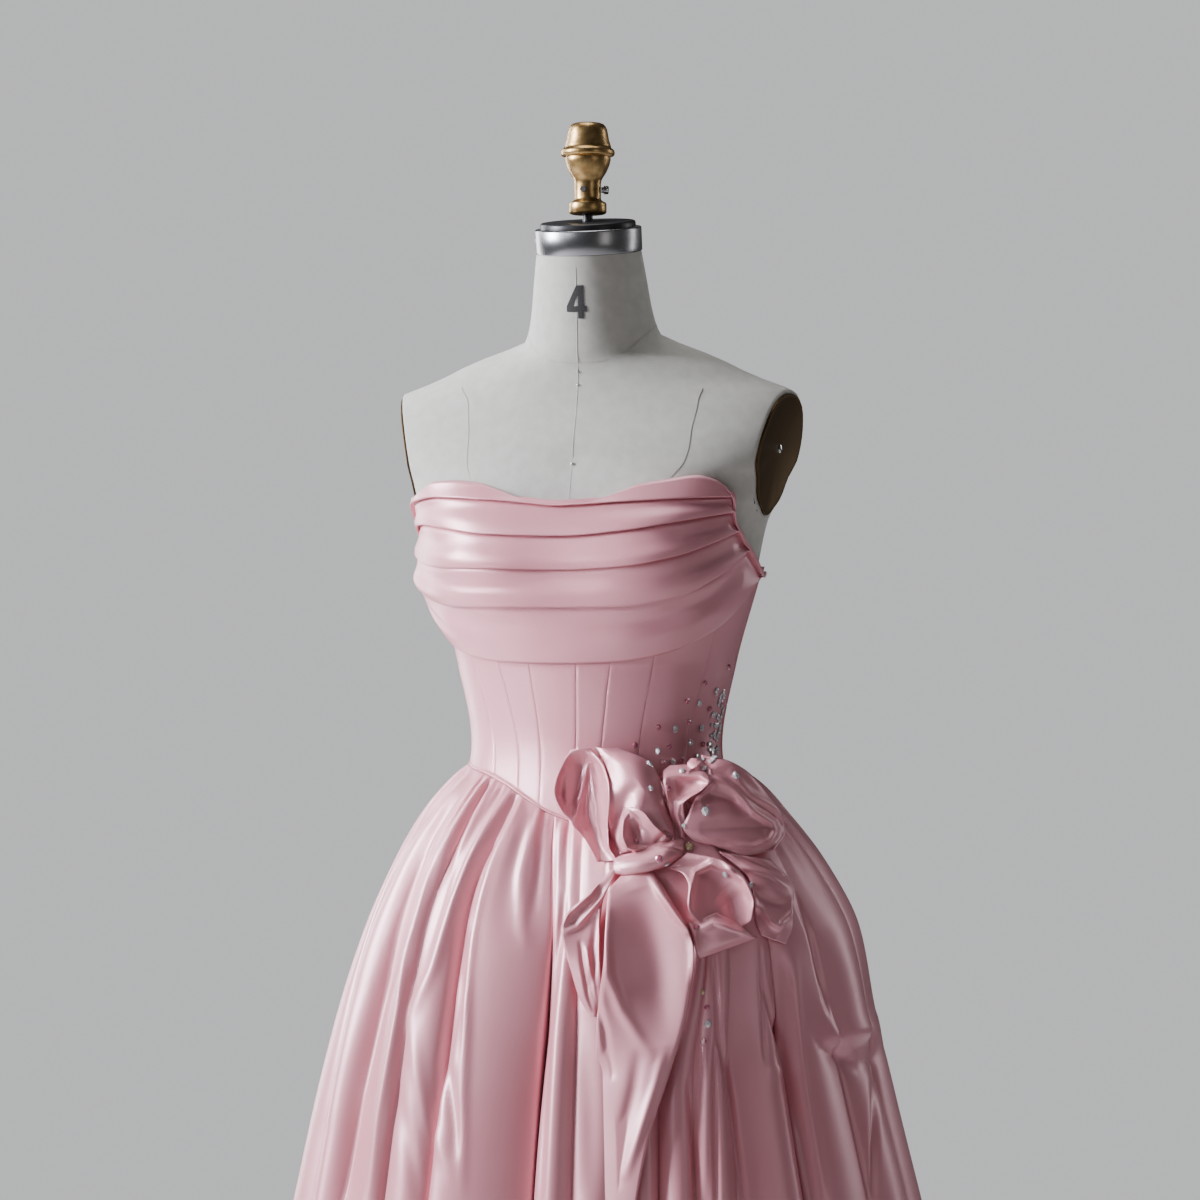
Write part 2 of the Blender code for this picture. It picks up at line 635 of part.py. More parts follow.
def draw_in_sides(grid):
    """The grid with its two upright sides moved in by half a seam gap."""
    grid = grid.copy()
    for edge, neighbour in ((0, 1), (-1, -2)):
        inward = grid[:, neighbour] - grid[:, edge]
        inward /= np.linalg.norm(inward, axis=-1, keepdims=True)
        grid[:, edge] += inward * SEAM_GAP / 2
    return grid


def make_bodice_panels(material):
    rows = np.array(BODICE_ROWS)[:, None]
    columns = np.array(BODICE_COLUMNS)[None, :]
    levels = (0.0, BODICE_SEAM_MIDDLE, 1.0)
    for name, before, after in zip(BODICE_PANELS, BODICE_SEAMS, BODICE_SEAMS[1:]):
        start = smooth(levels, before, rows)
        end = smooth(levels, after, rows)
        angle = start + columns * (end - start)
        bottom = waist_height(angle) + SEAM_GAP / 2
        height = bottom + rows * (neck_height(angle) - bottom)
        outer = torso(angle, height, BODICE_OUT, "bodice")
        inner = torso(angle, height, BODICE_EASE, "bodice")
        make_wall(name, draw_in_sides(outer), draw_in_sides(inner), material)


def make_placket(material):
    """The lapped strip that covers the closing at the centre back."""
    heights = np.linspace(waist_height(180) + PLACKET_END, neck_height(180) - PLACKET_END, 9)[:, None]
    back = follow(FORM_SECTIONS, "height", "half_width", heights)
    angle = 180 + np.degrees(np.array([-1.0, 0.0, 1.0])[None, :] * PLACKET_HALF_WIDTH / back)
    lifted = BODICE_OUT + PLACKET_LIFT
    outer = torso(wrapped(angle - 1e-6), heights, lifted + PLACKET_WALL, "bodice")
    inner = torso(wrapped(angle - 1e-6), heights, lifted, "bodice")
    make_wall("back_placket", outer, inner, material)


def drape_heights(angle):
    """The heights of the drape's top and five folded edges, which crowd in under the neckline."""
    neck = neck_height(angle)
    edges = [neck + 0.001]
    for number, name in enumerate(("first", "second", "third", "fourth", "lowest"), 1):
        edge = follow(DRAPE_LINES, "angle", name, angle)
        edges.append(np.minimum(edge, neck + 0.001 - number * PLEAT_CLOSEST))
    edges[0] = np.maximum(edges[0], edges[1] + PLEAT_CLOSEST)
    return edges


def make_drape(material):
    angle = np.linspace(DRAPE_FROM, DRAPE_TO, DRAPE_COLUMNS + 1)
    edges = drape_heights(angle)
    stand = follow(DRAPE_LINES, "angle", "stand", angle)
    outer = []
    inner = []
    for top, bottom in zip(edges, edges[1:]):
        for share in PLEAT_ROWS:
            height = top + share * (bottom - top) - (SEAM_GAP if share == 0 else 0)
            down = (edges[0] - height) / (edges[0] - edges[-1])
            held_off = stand * np.sin(math.pi * np.clip(down, 0, 1) ** 1.4)
            proud = DRAPE_RECESS + (DRAPE_PROUD - DRAPE_RECESS) * share**1.5
            outer.append(torso(angle, height, held_off + proud, "drape"))
            inner.append(torso(angle, height, held_off + DRAPE_INSIDE, "drape"))
    make_wall("bust_drape", np.array(outer), np.array(inner), material)


def make_skirt_panels(material):
    share = np.array(SKIRT_ROWS)[:, None]
    for name, first, last in SKIRT_PANELS:
        steps = [fold + part for fold in range(first, last) for part in FOLD_COLUMNS]
        place = np.array([*steps, last])[None, :]
        outer = skirt(place, share)
        outward = normals(skirt, place + 0 * share, share + 0 * place, 0.02, 0.003, np.zeros(3))
        inner = outer - outward * SKIRT_WALL
        outer[0, :, 2] -= SEAM_GAP / 2
        inner[0, :, 2] = np.minimum(inner[0, :, 2], outer[0, :, 2])
        make_wall(name, draw_in_sides(outer), draw_in_sides(inner), material)


def hip_surface(angle, height):
    """The bodice or skirt that the rosette lies on."""
    drop = waist_height(angle) - height
    above = torso(angle, np.maximum(height, waist_height(angle)), BODICE_OUT, "bodice")
    return np.where((drop > 0)[..., None], crest(angle, np.maximum(drop, 0)), above)


def hip_depth(reach, height):
    """How far out the bodice or skirt lies, seen from the side that the rosette faces."""
    low = np.full_like(reach, -60.0)
    high = np.full_like(reach, 89.0)
    for _ in range(36):
        middle = (low + high) / 2
        beyond = hip_surface(middle, height) @ ACROSS > reach
        high = np.where(beyond, middle, high)
        low = np.where(beyond, low, middle)
    return hip_surface(middle, height) @ OUTWARD


def on_hip(across, up, lift):
    """A point of the rosette, across and up from its middle and lifted off the skirt."""
    reach = ROSETTE_ACROSS + across
    height = ROSETTE_HEIGHT + up
    resting = np.minimum(height, ROSETTE_REST)
    leaned = hip_depth(reach, resting) - ROSETTE_LEAN * (height - resting)
    depth = np.maximum(leaned, hip_depth(reach, height)) + lift
    point = ACROSS * reach[..., None] + OUTWARD * depth[..., None]
    point[..., 2] = height
    return point


def petal_grid(sections, steps, columns):
    """Across, up and lift over a petal, in metres, with `steps` rows to each section."""
    places = np.arange(len(sections))
    at = np.linspace(0, len(sections) - 1, (len(sections) - 1) * steps + 1)
    rows = {name: smooth(places, column(sections, name), at)[:, None] / 1000 for name in Petal._fields}
    t = np.linspace(0, 1, columns)[None, :]
    across = rows["left"] + t * (rows["right"] - rows["left"])
    up = rows["left_up"] + t * (rows["right_up"] - rows["left_up"])
    lift = (
        rows["left_lift"] * (1 - t) * (1 - 2 * t)
        + rows["middle_lift"] * 4 * t * (1 - t)
        + rows["right_lift"] * t * (2 * t - 1)
    )
    return across, up, lift


def grid_normals(grid):
    """Unit normals of a grid of points, on the side that the rosette faces."""
    out = np.cross(np.gradient(grid, axis=0), np.gradient(grid, axis=1))
    out /= np.linalg.norm(out, axis=-1, keepdims=True)
    return out * np.where(out @ OUTWARD < 0, -1.0, 1.0)[..., None]


def make_rosette(material):
    across, up, _ = petal_grid(ROSETTE_BACKING, BACKING_STEPS, BACKING_COLUMNS)
    back = on_hip(across, up, np.full_like(across, BACKING_GAP))
    front = on_hip(across, up, np.full_like(across, BACKING_GAP + BACKING_WALL))
    rosette = make_wall("hip_rosette", front, back, material)
    for name, sections in PETALS.items():
        middle = on_hip(*petal_grid(sections, 1, PETAL_COLUMNS))
        half = grid_normals(middle) * PETAL_WALL / 2
        petal = make_wall(f"petal_{name}", middle + half, middle - half, material)
        petal.hide_render = True
        petal.display_type = "WIRE"
        union = rosette.modifiers.new(f"join_{name}", "BOOLEAN")
        # EXACT loses some of these thin loops, so the closed petals are joined with MANIFOLD.
        union.solver = "MANIFOLD"
        union.operation = "UNION"
        union.object = petal
    return rosette


def ring_rows(body, rings):
    """Skins rings of points, from bottom to top, and caps both ends."""
    verts = [[body.verts.new(point) for point in ring] for ring in rings]
    for lower, upper in zip(verts, verts[1:]):
        for j, start in enumerate(lower):
            after = (j + 1) % len(lower)
            body.faces.new((start, lower[after], upper[after], upper[j]))
    body.faces.new(verts[0][::-1])
    body.faces.new(verts[-1])


def make_turned(name, profile, material, sides, place=(0, 0, 0), tilt=0.0):
    """A solid turned about an upright axis from (radius, height) rows."""
    turns = np.linspace(0, 2 * math.pi, sides, endpoint=False)
    ring = np.stack([np.cos(turns), np.sin(turns), np.zeros(sides)], axis=-1)
    body = bmesh.new()
    ring_rows(body, [ring * radius + (0, 0, height) for radius, height in profile])
    thing = make_object(name, body, material)
    thing.location = place
    thing.rotation_euler = (tilt, 0, 0)
    return thing


def cut_arm(body, side):
    """Cuts the form flat at one armhole and returns the outline of the cut."""
    level = math.cos(ARM_PLATE_DROOP)
    normal = (
        side * math.cos(ARM_PLATE_TURN) * level,
        -math.sin(ARM_PLATE_TURN) * level,
        -math.sin(ARM_PLATE_DROOP),
    )
    place = (side * ARM_PLATE_ACROSS, ARM_PLATE_BEHIND, ARM_PLATE_HEIGHT)
    verts = [vert for vert in body.verts if vert.co.z > ARM_CUT_ABOVE]
    edges = [edge for edge in body.edges if all(vert.co.z > ARM_CUT_ABOVE for vert in edge.verts)]
    faces = [face for face in body.faces if all(vert.co.z > ARM_CUT_ABOVE for vert in face.verts)]
    upper = verts + edges + faces
    cut = bmesh.ops.bisect_plane(body, geom=upper, plane_co=place, plane_no=normal, clear_outer=True)
    edges = [piece for piece in cut["geom_cut"] if isinstance(piece, bmesh.types.BMEdge)]
    filled = bmesh.ops.edgeloop_fill(body, edges=edges)["faces"]
    outline = np.array([vert.co[:] for vert in filled[0].verts])
    return outline, np.array(normal)


def make_form(linen, bronze):
    """The padded torso with its neck, cut flat at the armholes, and a plate on each cut."""
    heights = np.concatenate([column(FORM_SECTIONS, "height"), FORM_EXTRA_LEVELS])
    angles = np.arange(-180, 180, FORM_STEP)[None, :]
    body = bmesh.new()
    ring_rows(body, torso(angles, np.sort(heights)[:, None]))
    outlines = {name: cut_arm(body, side) for name, side in (("left", 1), ("right", -1))}
    make_object("form_body", body, linen)
    for name, (outline, normal) in outlines.items():
        middle = outline.mean(axis=0)
        rim = middle + (outline - middle) * ARM_PLATE_SHARE
        plate = bmesh.new()
        ring_rows(plate, [rim + normal * SEAM_GAP, rim + normal * (SEAM_GAP + ARM_PLATE_WALL)])
        make_object(f"arm_plate_{name}", plate, bronze)


def make_neck_fittings(chrome, black, brass, silver):
    foot = (0, 0, NECK_TOP)
    band = [(NECK_BAND_RADIUS - 0.001, SEAM_GAP), (NECK_BAND_RADIUS, 0.001)]
    band += [(NECK_BAND_RADIUS, NECK_BAND_HEIGHT - 0.001), (NECK_BAND_RADIUS - 0.001, NECK_BAND_HEIGHT)]
    make_turned("neck_band", band, chrome, 32, foot, NECK_TILT)
    cap_foot = NECK_BAND_HEIGHT + SEAM_GAP
    cap_top = cap_foot + NECK_CAP_HEIGHT
    cap = [(NECK_CAP_RADIUS, cap_foot), (NECK_CAP_RADIUS, cap_top - 0.002), (NECK_CAP_RADIUS - 0.003, cap_top)]
    make_turned("neck_cap", cap, black, 28, foot, NECK_TILT)
    turns = np.linspace(0, 2 * math.pi, 14, endpoint=False)
    ring = np.stack([np.cos(turns), np.sin(turns), np.zeros(14)], axis=-1) * ROD_RADIUS
    rod_foot = ring + (0, -cap_top * math.sin(NECK_TILT), 0)
    rod_foot[:, 2] = NECK_TOP + cap_top / math.cos(NECK_TILT) + rod_foot[:, 1] * math.tan(NECK_TILT)
    rod_foot[:, 2] += SEAM_GAP
    rod_top = ring + (0, -cap_top * math.sin(NECK_TILT), FINIAL_FOOT - SEAM_GAP)
    body = bmesh.new()
    ring_rows(body, [rod_foot, rod_top])
    make_object("neck_rod", body, black)
    finial_place = (0, -cap_top * math.sin(NECK_TILT), FINIAL_FOOT)
    make_turned("finial", FINIAL_PROFILE, brass, 20, finial_place)
    screw = make_turned("finial_screw", [(SCREW_RADIUS, 0), (SCREW_RADIUS, SCREW_LENGTH)], silver, 14)
    screw.rotation_euler = (0, math.pi / 2, SCREW_TURN)
    reach = 0.0130 + SEAM_GAP
    screw.location = (
        reach * math.cos(SCREW_TURN),
        finial_place[1] + reach * math.sin(SCREW_TURN),
        SCREW_HEIGHT,
    )


def make_stand(black):
    base = [(BASE_RADIUS - 0.003, 0.0), (BASE_RADIUS, 0.003), (BASE_RADIUS, BASE_THICKNESS - 0.003)]
    base += [(BASE_RADIUS - 0.006, BASE_THICKNESS), (BASE_HUB_RADIUS, BASE_THICKNESS + 0.004)]
    base += [(BASE_HUB_RADIUS - 0.006, BASE_HUB_TOP)]
    make_turned("stand_base", base, black, 40)
    top = FORM_BOTTOM - SEAM_GAP
    pole = [(POLE_RADIUS, BASE_HUB_TOP + SEAM_GAP), (POLE_RADIUS, top - FLANGE_THICKNESS - 0.02)]
    pole += [(FLANGE_RADIUS, top - FLANGE_THICKNESS), (FLANGE_RADIUS, top)]
    make_turned("stand_pole", pole, black, 24)


def main():
    for thing in list(bpy.data.objects):
        bpy.data.objects.remove(thing)
    satin = make_material("pink_satin", PINK, 0.38)
    linen = make_material("linen", LINEN, 0.9)
    brass = make_material("brass", BRASS, 0.35, 1.0)
    bronze = make_material("dark_bronze", DARK_BRONZE, 0.4, 1.0)
    chrome = make_material("brushed_chrome", CHROME, 0.3, 1.0)
    black = make_material("black_paint", BLACK, 0.35)
    silver = make_material("steel", SILVER, 0.3, 1.0)
    make_stand(black)
    make_form(linen, bronze)
    make_neck_fittings(chrome, black, brass, silver)
    make_bodice_panels(satin)
    make_placket(satin)
    make_drape(satin)
    make_skirt_panels(satin)
    make_rosette(satin)


if __name__ == "__main__":
    main()
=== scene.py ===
"""The looks of a strapless evening gown of pink satin, worn on a limbless dress form with its stand.

Everything is in the CAD's frame: metres, +Z up, the gown's front towards -Y and the wearer's left
towards +X. Angles are in degrees round the pole, 0 at the front and positive towards the wearer's
left. The gown's satin is a set of thin shells on the forms of its CAD solids, with finer folds.
"""

import math
from collections import namedtuple

import bmesh
import bpy
import numpy as np
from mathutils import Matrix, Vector
from mathutils.bvhtree import BVHTree


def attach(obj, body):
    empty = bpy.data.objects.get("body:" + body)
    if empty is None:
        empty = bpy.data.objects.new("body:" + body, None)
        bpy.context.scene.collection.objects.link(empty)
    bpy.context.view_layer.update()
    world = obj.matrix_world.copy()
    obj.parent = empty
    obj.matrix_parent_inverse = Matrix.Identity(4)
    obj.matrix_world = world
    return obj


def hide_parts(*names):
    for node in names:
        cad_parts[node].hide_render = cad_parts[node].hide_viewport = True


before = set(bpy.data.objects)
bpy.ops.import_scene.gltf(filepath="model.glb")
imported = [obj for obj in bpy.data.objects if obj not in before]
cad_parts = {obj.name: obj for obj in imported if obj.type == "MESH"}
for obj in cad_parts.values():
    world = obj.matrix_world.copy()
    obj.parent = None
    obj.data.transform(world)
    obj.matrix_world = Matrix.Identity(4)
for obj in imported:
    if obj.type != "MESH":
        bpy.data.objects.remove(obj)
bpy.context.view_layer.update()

SEAM_GAP = 0.0003
BODICE_EASE = 0.0012
BODICE_WALL = 0.0026
BODICE_OUT = BODICE_EASE + BODICE_WALL
DRAPE_INSIDE = BODICE_OUT + 0.0016
DRAPE_RECESS = 0.0074
DRAPE_PROUD = 0.0102
PLEAT_CLOSEST = 0.0012
HEM_HEIGHT = 0.012
BUST_RISE = 0.030

POLE_RADIUS = 0.0125
FLANGE_RADIUS = 0.050
FLANGE_THICKNESS = 0.006
BASE_RADIUS = 0.210
BASE_THICKNESS = 0.010
BASE_HUB_RADIUS = 0.032
BASE_HUB_TOP = 0.034
FORM_BOTTOM = 0.800
NECK_TOP = 1.543
NECK_TILT = math.radians(9)
NECK_BAND_RADIUS = 0.0525
NECK_BAND_HEIGHT = 0.024
NECK_CAP_RADIUS = 0.047
NECK_CAP_HEIGHT = 0.006
ROD_RADIUS = 0.005
FINIAL_FOOT = 1.5795
ARM_PLATE_ACROSS = 0.185
ARM_PLATE_BEHIND = 0.0195
ARM_PLATE_HEIGHT = 1.3455
ARM_CUT_ABOVE = 1.22
ARM_PLATE_TURN = math.radians(10)
ARM_PLATE_DROOP = math.radians(10)
ARM_PLATE_SHARE = 0.94

# The dress form: one row for each level, as ellipse halves; lean tips a ring forward or back.
Section = namedtuple("Section", "height half_width front back centre lean")
FORM_SECTIONS = [
    Section(0.800, 0.1600, 0.098, 0.112, 0.030, 0.00),
    Section(0.880, 0.1700, 0.108, 0.122, 0.030, 0.00),
    Section(0.960, 0.1520, 0.102, 0.106, 0.029, 0.00),
    Section(1.060, 0.1215, 0.090, 0.086, 0.028, 0.00),
    Section(1.140, 0.1355, 0.099, 0.094, 0.027, 0.00),
    Section(1.230, 0.1610, 0.104, 0.102, 0.025, 0.00),
    Section(1.283, 0.1740, 0.098, 0.104, 0.023, 0.00),
    Section(1.300, 0.1850, 0.094, 0.103, 0.022, 0.01),
    Section(1.320, 0.1970, 0.089, 0.101, 0.021, 0.03),
    Section(1.340, 0.2240, 0.084, 0.098, 0.021, 0.05),
    Section(1.365, 0.2360, 0.077, 0.093, 0.020, 0.07),
    Section(1.385, 0.2300, 0.070, 0.086, 0.020, 0.10),
    Section(1.405, 0.2000, 0.064, 0.078, 0.019, 0.14),
    Section(1.420, 0.1600, 0.060, 0.072, 0.018, 0.18),
    Section(1.434, 0.1300, 0.058, 0.068, 0.017, 0.22),
    Section(1.446, 0.0970, 0.057, 0.065, 0.016, 0.26),
    Section(1.454, 0.0700, 0.058, 0.062, 0.015, 0.30),
    Section(1.480, 0.0605, 0.056, 0.058, 0.011, 0.24),
    Section(1.515, 0.0555, 0.053, 0.054, 0.005, 0.18),
    Section(1.543, 0.0515, 0.051, 0.051, 0.000, 0.157),
]

# The bust swells most at this angle on each side and fades out at its edge. Cloth bridges
# the hollow between the two sides, so each surface keeps its own share of the rise there.
BUST_ANGLE = 35
BUST_EDGE = 78
BUST_BRIDGE = {"form": 0.05, "bodice": 0.35, "drape": 0.50}
BustHeight = namedtuple("BustHeight", "height share")
BUST_HEIGHTS = [
    BustHeight(1.14, 0.00),
    BustHeight(1.18, 0.45),
    BustHeight(1.22, 0.90),
    BustHeight(1.24, 1.00),
    BustHeight(1.27, 0.85),
    BustHeight(1.30, 0.50),
    BustHeight(1.33, 0.22),
    BustHeight(1.36, 0.05),
    BustHeight(1.39, 0.00),
]

# The basque waist: the seam drops to a point at the front.
WaistPoint = namedtuple("WaistPoint", "angle height")
WAIST_SEAM = [
    WaistPoint(0, 0.9900),
    WaistPoint(10, 0.9990),
    WaistPoint(20, 1.0110),
    WaistPoint(30, 1.0220),
    WaistPoint(45, 1.0320),
    WaistPoint(60, 1.0370),
    WaistPoint(76, 1.0405),
    WaistPoint(90, 1.0420),
    WaistPoint(180, 1.0450),
]

# The neckline: a sweetheart in front, low under the arms and straight behind.
NeckPoint = namedtuple("NeckPoint", "angle height")
NECKLINE = [
    NeckPoint(-180, 1.2290),
    NeckPoint(-106, 1.2290),
    NeckPoint(-94, 1.2450),
    NeckPoint(-84, 1.2680),
    NeckPoint(-74, 1.2860),
    NeckPoint(-63, 1.3005),
    NeckPoint(-53, 1.3110),
    NeckPoint(-45, 1.3185),
    NeckPoint(-36, 1.3200),
    NeckPoint(-28, 1.3180),
    NeckPoint(-20, 1.3090),
    NeckPoint(-11, 1.2970),
    NeckPoint(-3, 1.2935),
    NeckPoint(6, 1.2955),
    NeckPoint(16, 1.3075),
    NeckPoint(21, 1.3150),
    NeckPoint(28, 1.3195),
    NeckPoint(36, 1.3235),
    NeckPoint(44, 1.3185),
    NeckPoint(54, 1.2995),
    NeckPoint(62, 1.2710),
    NeckPoint(69, 1.2555),
    NeckPoint(78, 1.2400),
    NeckPoint(88, 1.2290),
    NeckPoint(180, 1.2290),
]

# The bust drape's folded edges, from its first lap down to its lower edge, as heights.
DrapeLine = namedtuple("DrapeLine", "angle first second third fourth lowest stand")
DRAPE_LINES = [
    DrapeLine(-93, 1.2600, 1.2510, 1.2400, 1.2260, 1.2090, 0.000),
    DrapeLine(-77, 1.2900, 1.2710, 1.2470, 1.2160, 1.1760, 0.014),
    DrapeLine(-60, 1.2990, 1.2755, 1.2370, 1.2000, 1.1560, 0.008),
    DrapeLine(-45, 1.3030, 1.2720, 1.2335, 1.1955, 1.1470, 0.003),
    DrapeLine(-25, 1.3000, 1.2655, 1.2325, 1.1950, 1.1420, 0.002),
    DrapeLine(0, 1.2940, 1.2635, 1.2310, 1.1950, 1.1410, 0.002),
    DrapeLine(20, 1.2975, 1.2685, 1.2340, 1.1955, 1.1425, 0.002),
    DrapeLine(40, 1.3005, 1.2780, 1.2445, 1.2035, 1.1510, 0.002),
    DrapeLine(55, 1.3015, 1.2850, 1.2595, 1.2225, 1.1655, 0.003),
    DrapeLine(65, 1.3020, 1.2880, 1.2700, 1.2395, 1.1790, 0.003),
    DrapeLine(78, 1.3020, 1.2900, 1.2780, 1.2600, 1.2050, 0.002),
    DrapeLine(90, 1.3020, 1.2900, 1.2780, 1.2600, 1.2270, 0.001),
    DrapeLine(106, 1.3020, 1.2900, 1.2780, 1.2600, 1.2270, 0.000),
]
DRAPE_FROM = -93
DRAPE_TO = 98

# The bodice's upright seams, as angles at the waist, below the drape and at the neckline.
BodiceSeam = namedtuple("BodiceSeam", "waist middle top")
BODICE_SEAMS = [
    BodiceSeam(-180, -180, -180),
    BodiceSeam(-138, -140, -142),
    BodiceSeam(-92, -94, -96),
    BodiceSeam(-40, -51, -62),
    BodiceSeam(-24, -33, -40),
    BodiceSeam(-13, -17, -20),
    BodiceSeam(1, 3, 4),
    BodiceSeam(11, 17, 22),
    BodiceSeam(29, 36, 42),
    BodiceSeam(54, 63, 68),
    BodiceSeam(94, 96, 98),
    BodiceSeam(138, 140, 142),
    BodiceSeam(180, 180, 180),
]
BODICE_PANELS = (
    "bodice_back_right",
    "bodice_back_side_right",
    "bodice_side_right",
    "bodice_side_front_right",
    "bodice_front_right",
    "bodice_centre_front_right",
    "bodice_centre_front_left",
    "bodice_front_left",
    "bodice_side_front_left",
    "bodice_side_left",
    "bodice_back_side_left",
    "bodice_back_left",
)
BODICE_SEAM_MIDDLE = 0.45

PLACKET_HALF_WIDTH = 0.010
PLACKET_WALL = 0.0014
PLACKET_LIFT = 0.0005
PLACKET_END = 0.005

# How far the skirt's crests stand beyond the waist seam, by the drop below that seam.
Flare = namedtuple("Flare", "drop front right left back")
SKIRT_FLARE = [
    Flare(0.000, 0.000, 0.000, 0.000, 0.000),
    Flare(0.012, 0.010, 0.017, 0.030, 0.014),
    Flare(0.050, 0.032, 0.050, 0.066, 0.048),
    Flare(0.100, 0.054, 0.079, 0.104, 0.080),
    Flare(0.160, 0.072, 0.105, 0.133, 0.110),
    Flare(0.240, 0.092, 0.130, 0.148, 0.140),
    Flare(0.320, 0.110, 0.150, 0.168, 0.165),
    Flare(0.420, 0.130, 0.173, 0.194, 0.190),
    Flare(1.040, 0.302, 0.328, 0.348, 0.362),
]

# The skirt's folds: where each valley lies at four drops, and how deep it is. The crest of
# the fold that follows lies at the share `crest` of the way to the next valley.
Fold = namedtuple("Fold", "waist upper lower hem upper_depth lower_depth hem_depth crest")
FOLD_DROPS = (0.0, 0.12, 0.30, 1.04)
SKIRT_FOLDS = [
    Fold(-84, -77.0, -69.0, -60, 0.009, 0.014, 0.024, 0.55),
    Fold(-52, -59.0, -57.4, -51, 0.010, 0.015, 0.026, 0.80),
    Fold(-42, -44.0, -42.5, -40, 0.007, 0.010, 0.018, 0.50),
    Fold(-24, -31.0, -29.5, -27, 0.012, 0.016, 0.024, 0.22),
    Fold(-6, -1.2, -2.4, -4, 0.014, 0.026, 0.036, 0.55),
    Fold(6, 7.6, 8.2, 9, 0.006, 0.010, 0.018, 0.50),
    Fold(17, 20.0, 19.5, 19, 0.006, 0.010, 0.022, 0.60),
    Fold(35, 42.0, 30.5, 27, 0.008, 0.016, 0.022, 0.50),
    Fold(41, 44.5, 38.5, 36, 0.005, 0.008, 0.016, 0.50),
    Fold(48, 50.0, 46.8, 46, 0.006, 0.010, 0.020, 0.60),
    Fold(58, 59.0, 61.5, 62, 0.010, 0.020, 0.030, 0.35),
    Fold(71, 71.0, 75.0, 74, 0.005, 0.010, 0.022, 0.50),
    Fold(84, 86.0, 88.0, 88, 0.006, 0.010, 0.024, 0.50),
    Fold(97, 99.0, 103.0, 101, 0.008, 0.014, 0.026, 0.45),
    Fold(110, 112.0, 114.0, 114, 0.009, 0.013, 0.022, 0.55),
    Fold(122, 124.0, 127.0, 126, 0.007, 0.015, 0.028, 0.50),
    Fold(138, 139.0, 140.0, 140, 0.010, 0.012, 0.023, 0.60),
    Fold(151, 152.0, 153.0, 154, 0.008, 0.014, 0.027, 0.45),
    Fold(164, 165.0, 166.0, 167, 0.009, 0.013, 0.024, 0.50),
    Fold(180, 180.0, 180.0, 180, 0.012, 0.017, 0.030, 0.50),
    Fold(193, 194.0, 194.0, 193, 0.008, 0.012, 0.022, 0.55),
    Fold(206, 207.0, 207.0, 206, 0.009, 0.015, 0.028, 0.45),
    Fold(221, 221.0, 221.0, 220, 0.010, 0.013, 0.024, 0.50),
    Fold(234, 234.0, 235.0, 234, 0.007, 0.012, 0.026, 0.60),
    Fold(246, 248.0, 249.0, 249, 0.009, 0.015, 0.023, 0.50),
    Fold(257, 260.0, 263.0, 265, 0.008, 0.012, 0.025, 0.45),
    Fold(267, 271.0, 276.0, 281, 0.009, 0.014, 0.022, 0.50),
]
SKIRT_PANELS = (
    ("skirt_front_right", 0, 4),
    ("skirt_front_left", 4, 10),
    ("skirt_side_left", 10, 16),
    ("skirt_back_left", 16, 19),
    ("skirt_back_right", 19, 22),
    ("skirt_side_right", 22, 27),
)
FOLD_ROUNDNESS = 0.62
DEPTH_AT_SEAM = 0.0004
DEPTH_AT_GATHERS = 0.0022
GATHER_DROP = 0.014

# The picked-up puff on the left hip, tucked in above a pocket fold.
PUFF_ANGLE = 80
PUFF_HALF_ANGLE = 15
PuffRow = namedtuple("PuffRow", "drop rise")
PUFF_ROWS = [
    PuffRow(0.00, 0.0),
    PuffRow(0.08, 0.0),
    PuffRow(0.16, 0.004),
    PuffRow(0.22, 0.009),
    PuffRow(0.25, 0.010),
    PuffRow(0.272, -0.004),
    PuffRow(0.30, -0.003),
    PuffRow(0.40, 0.0),
    PuffRow(1.04, 0.0),
]

# The rosette is laid out on a plane that faces the left front and bent over the hip.
ROSETTE_TURN = math.radians(15)
ROSETTE_ACROSS = 0.048
ROSETTE_HEIGHT = 0.9696
ROSETTE_REST = 0.985
ROSETTE_LEAN = 0.35
ACROSS = np.array([math.cos(ROSETTE_TURN), math.sin(ROSETTE_TURN), 0.0])
OUTWARD = np.array([math.sin(ROSETTE_TURN), -math.cos(ROSETTE_TURN), 0.0])

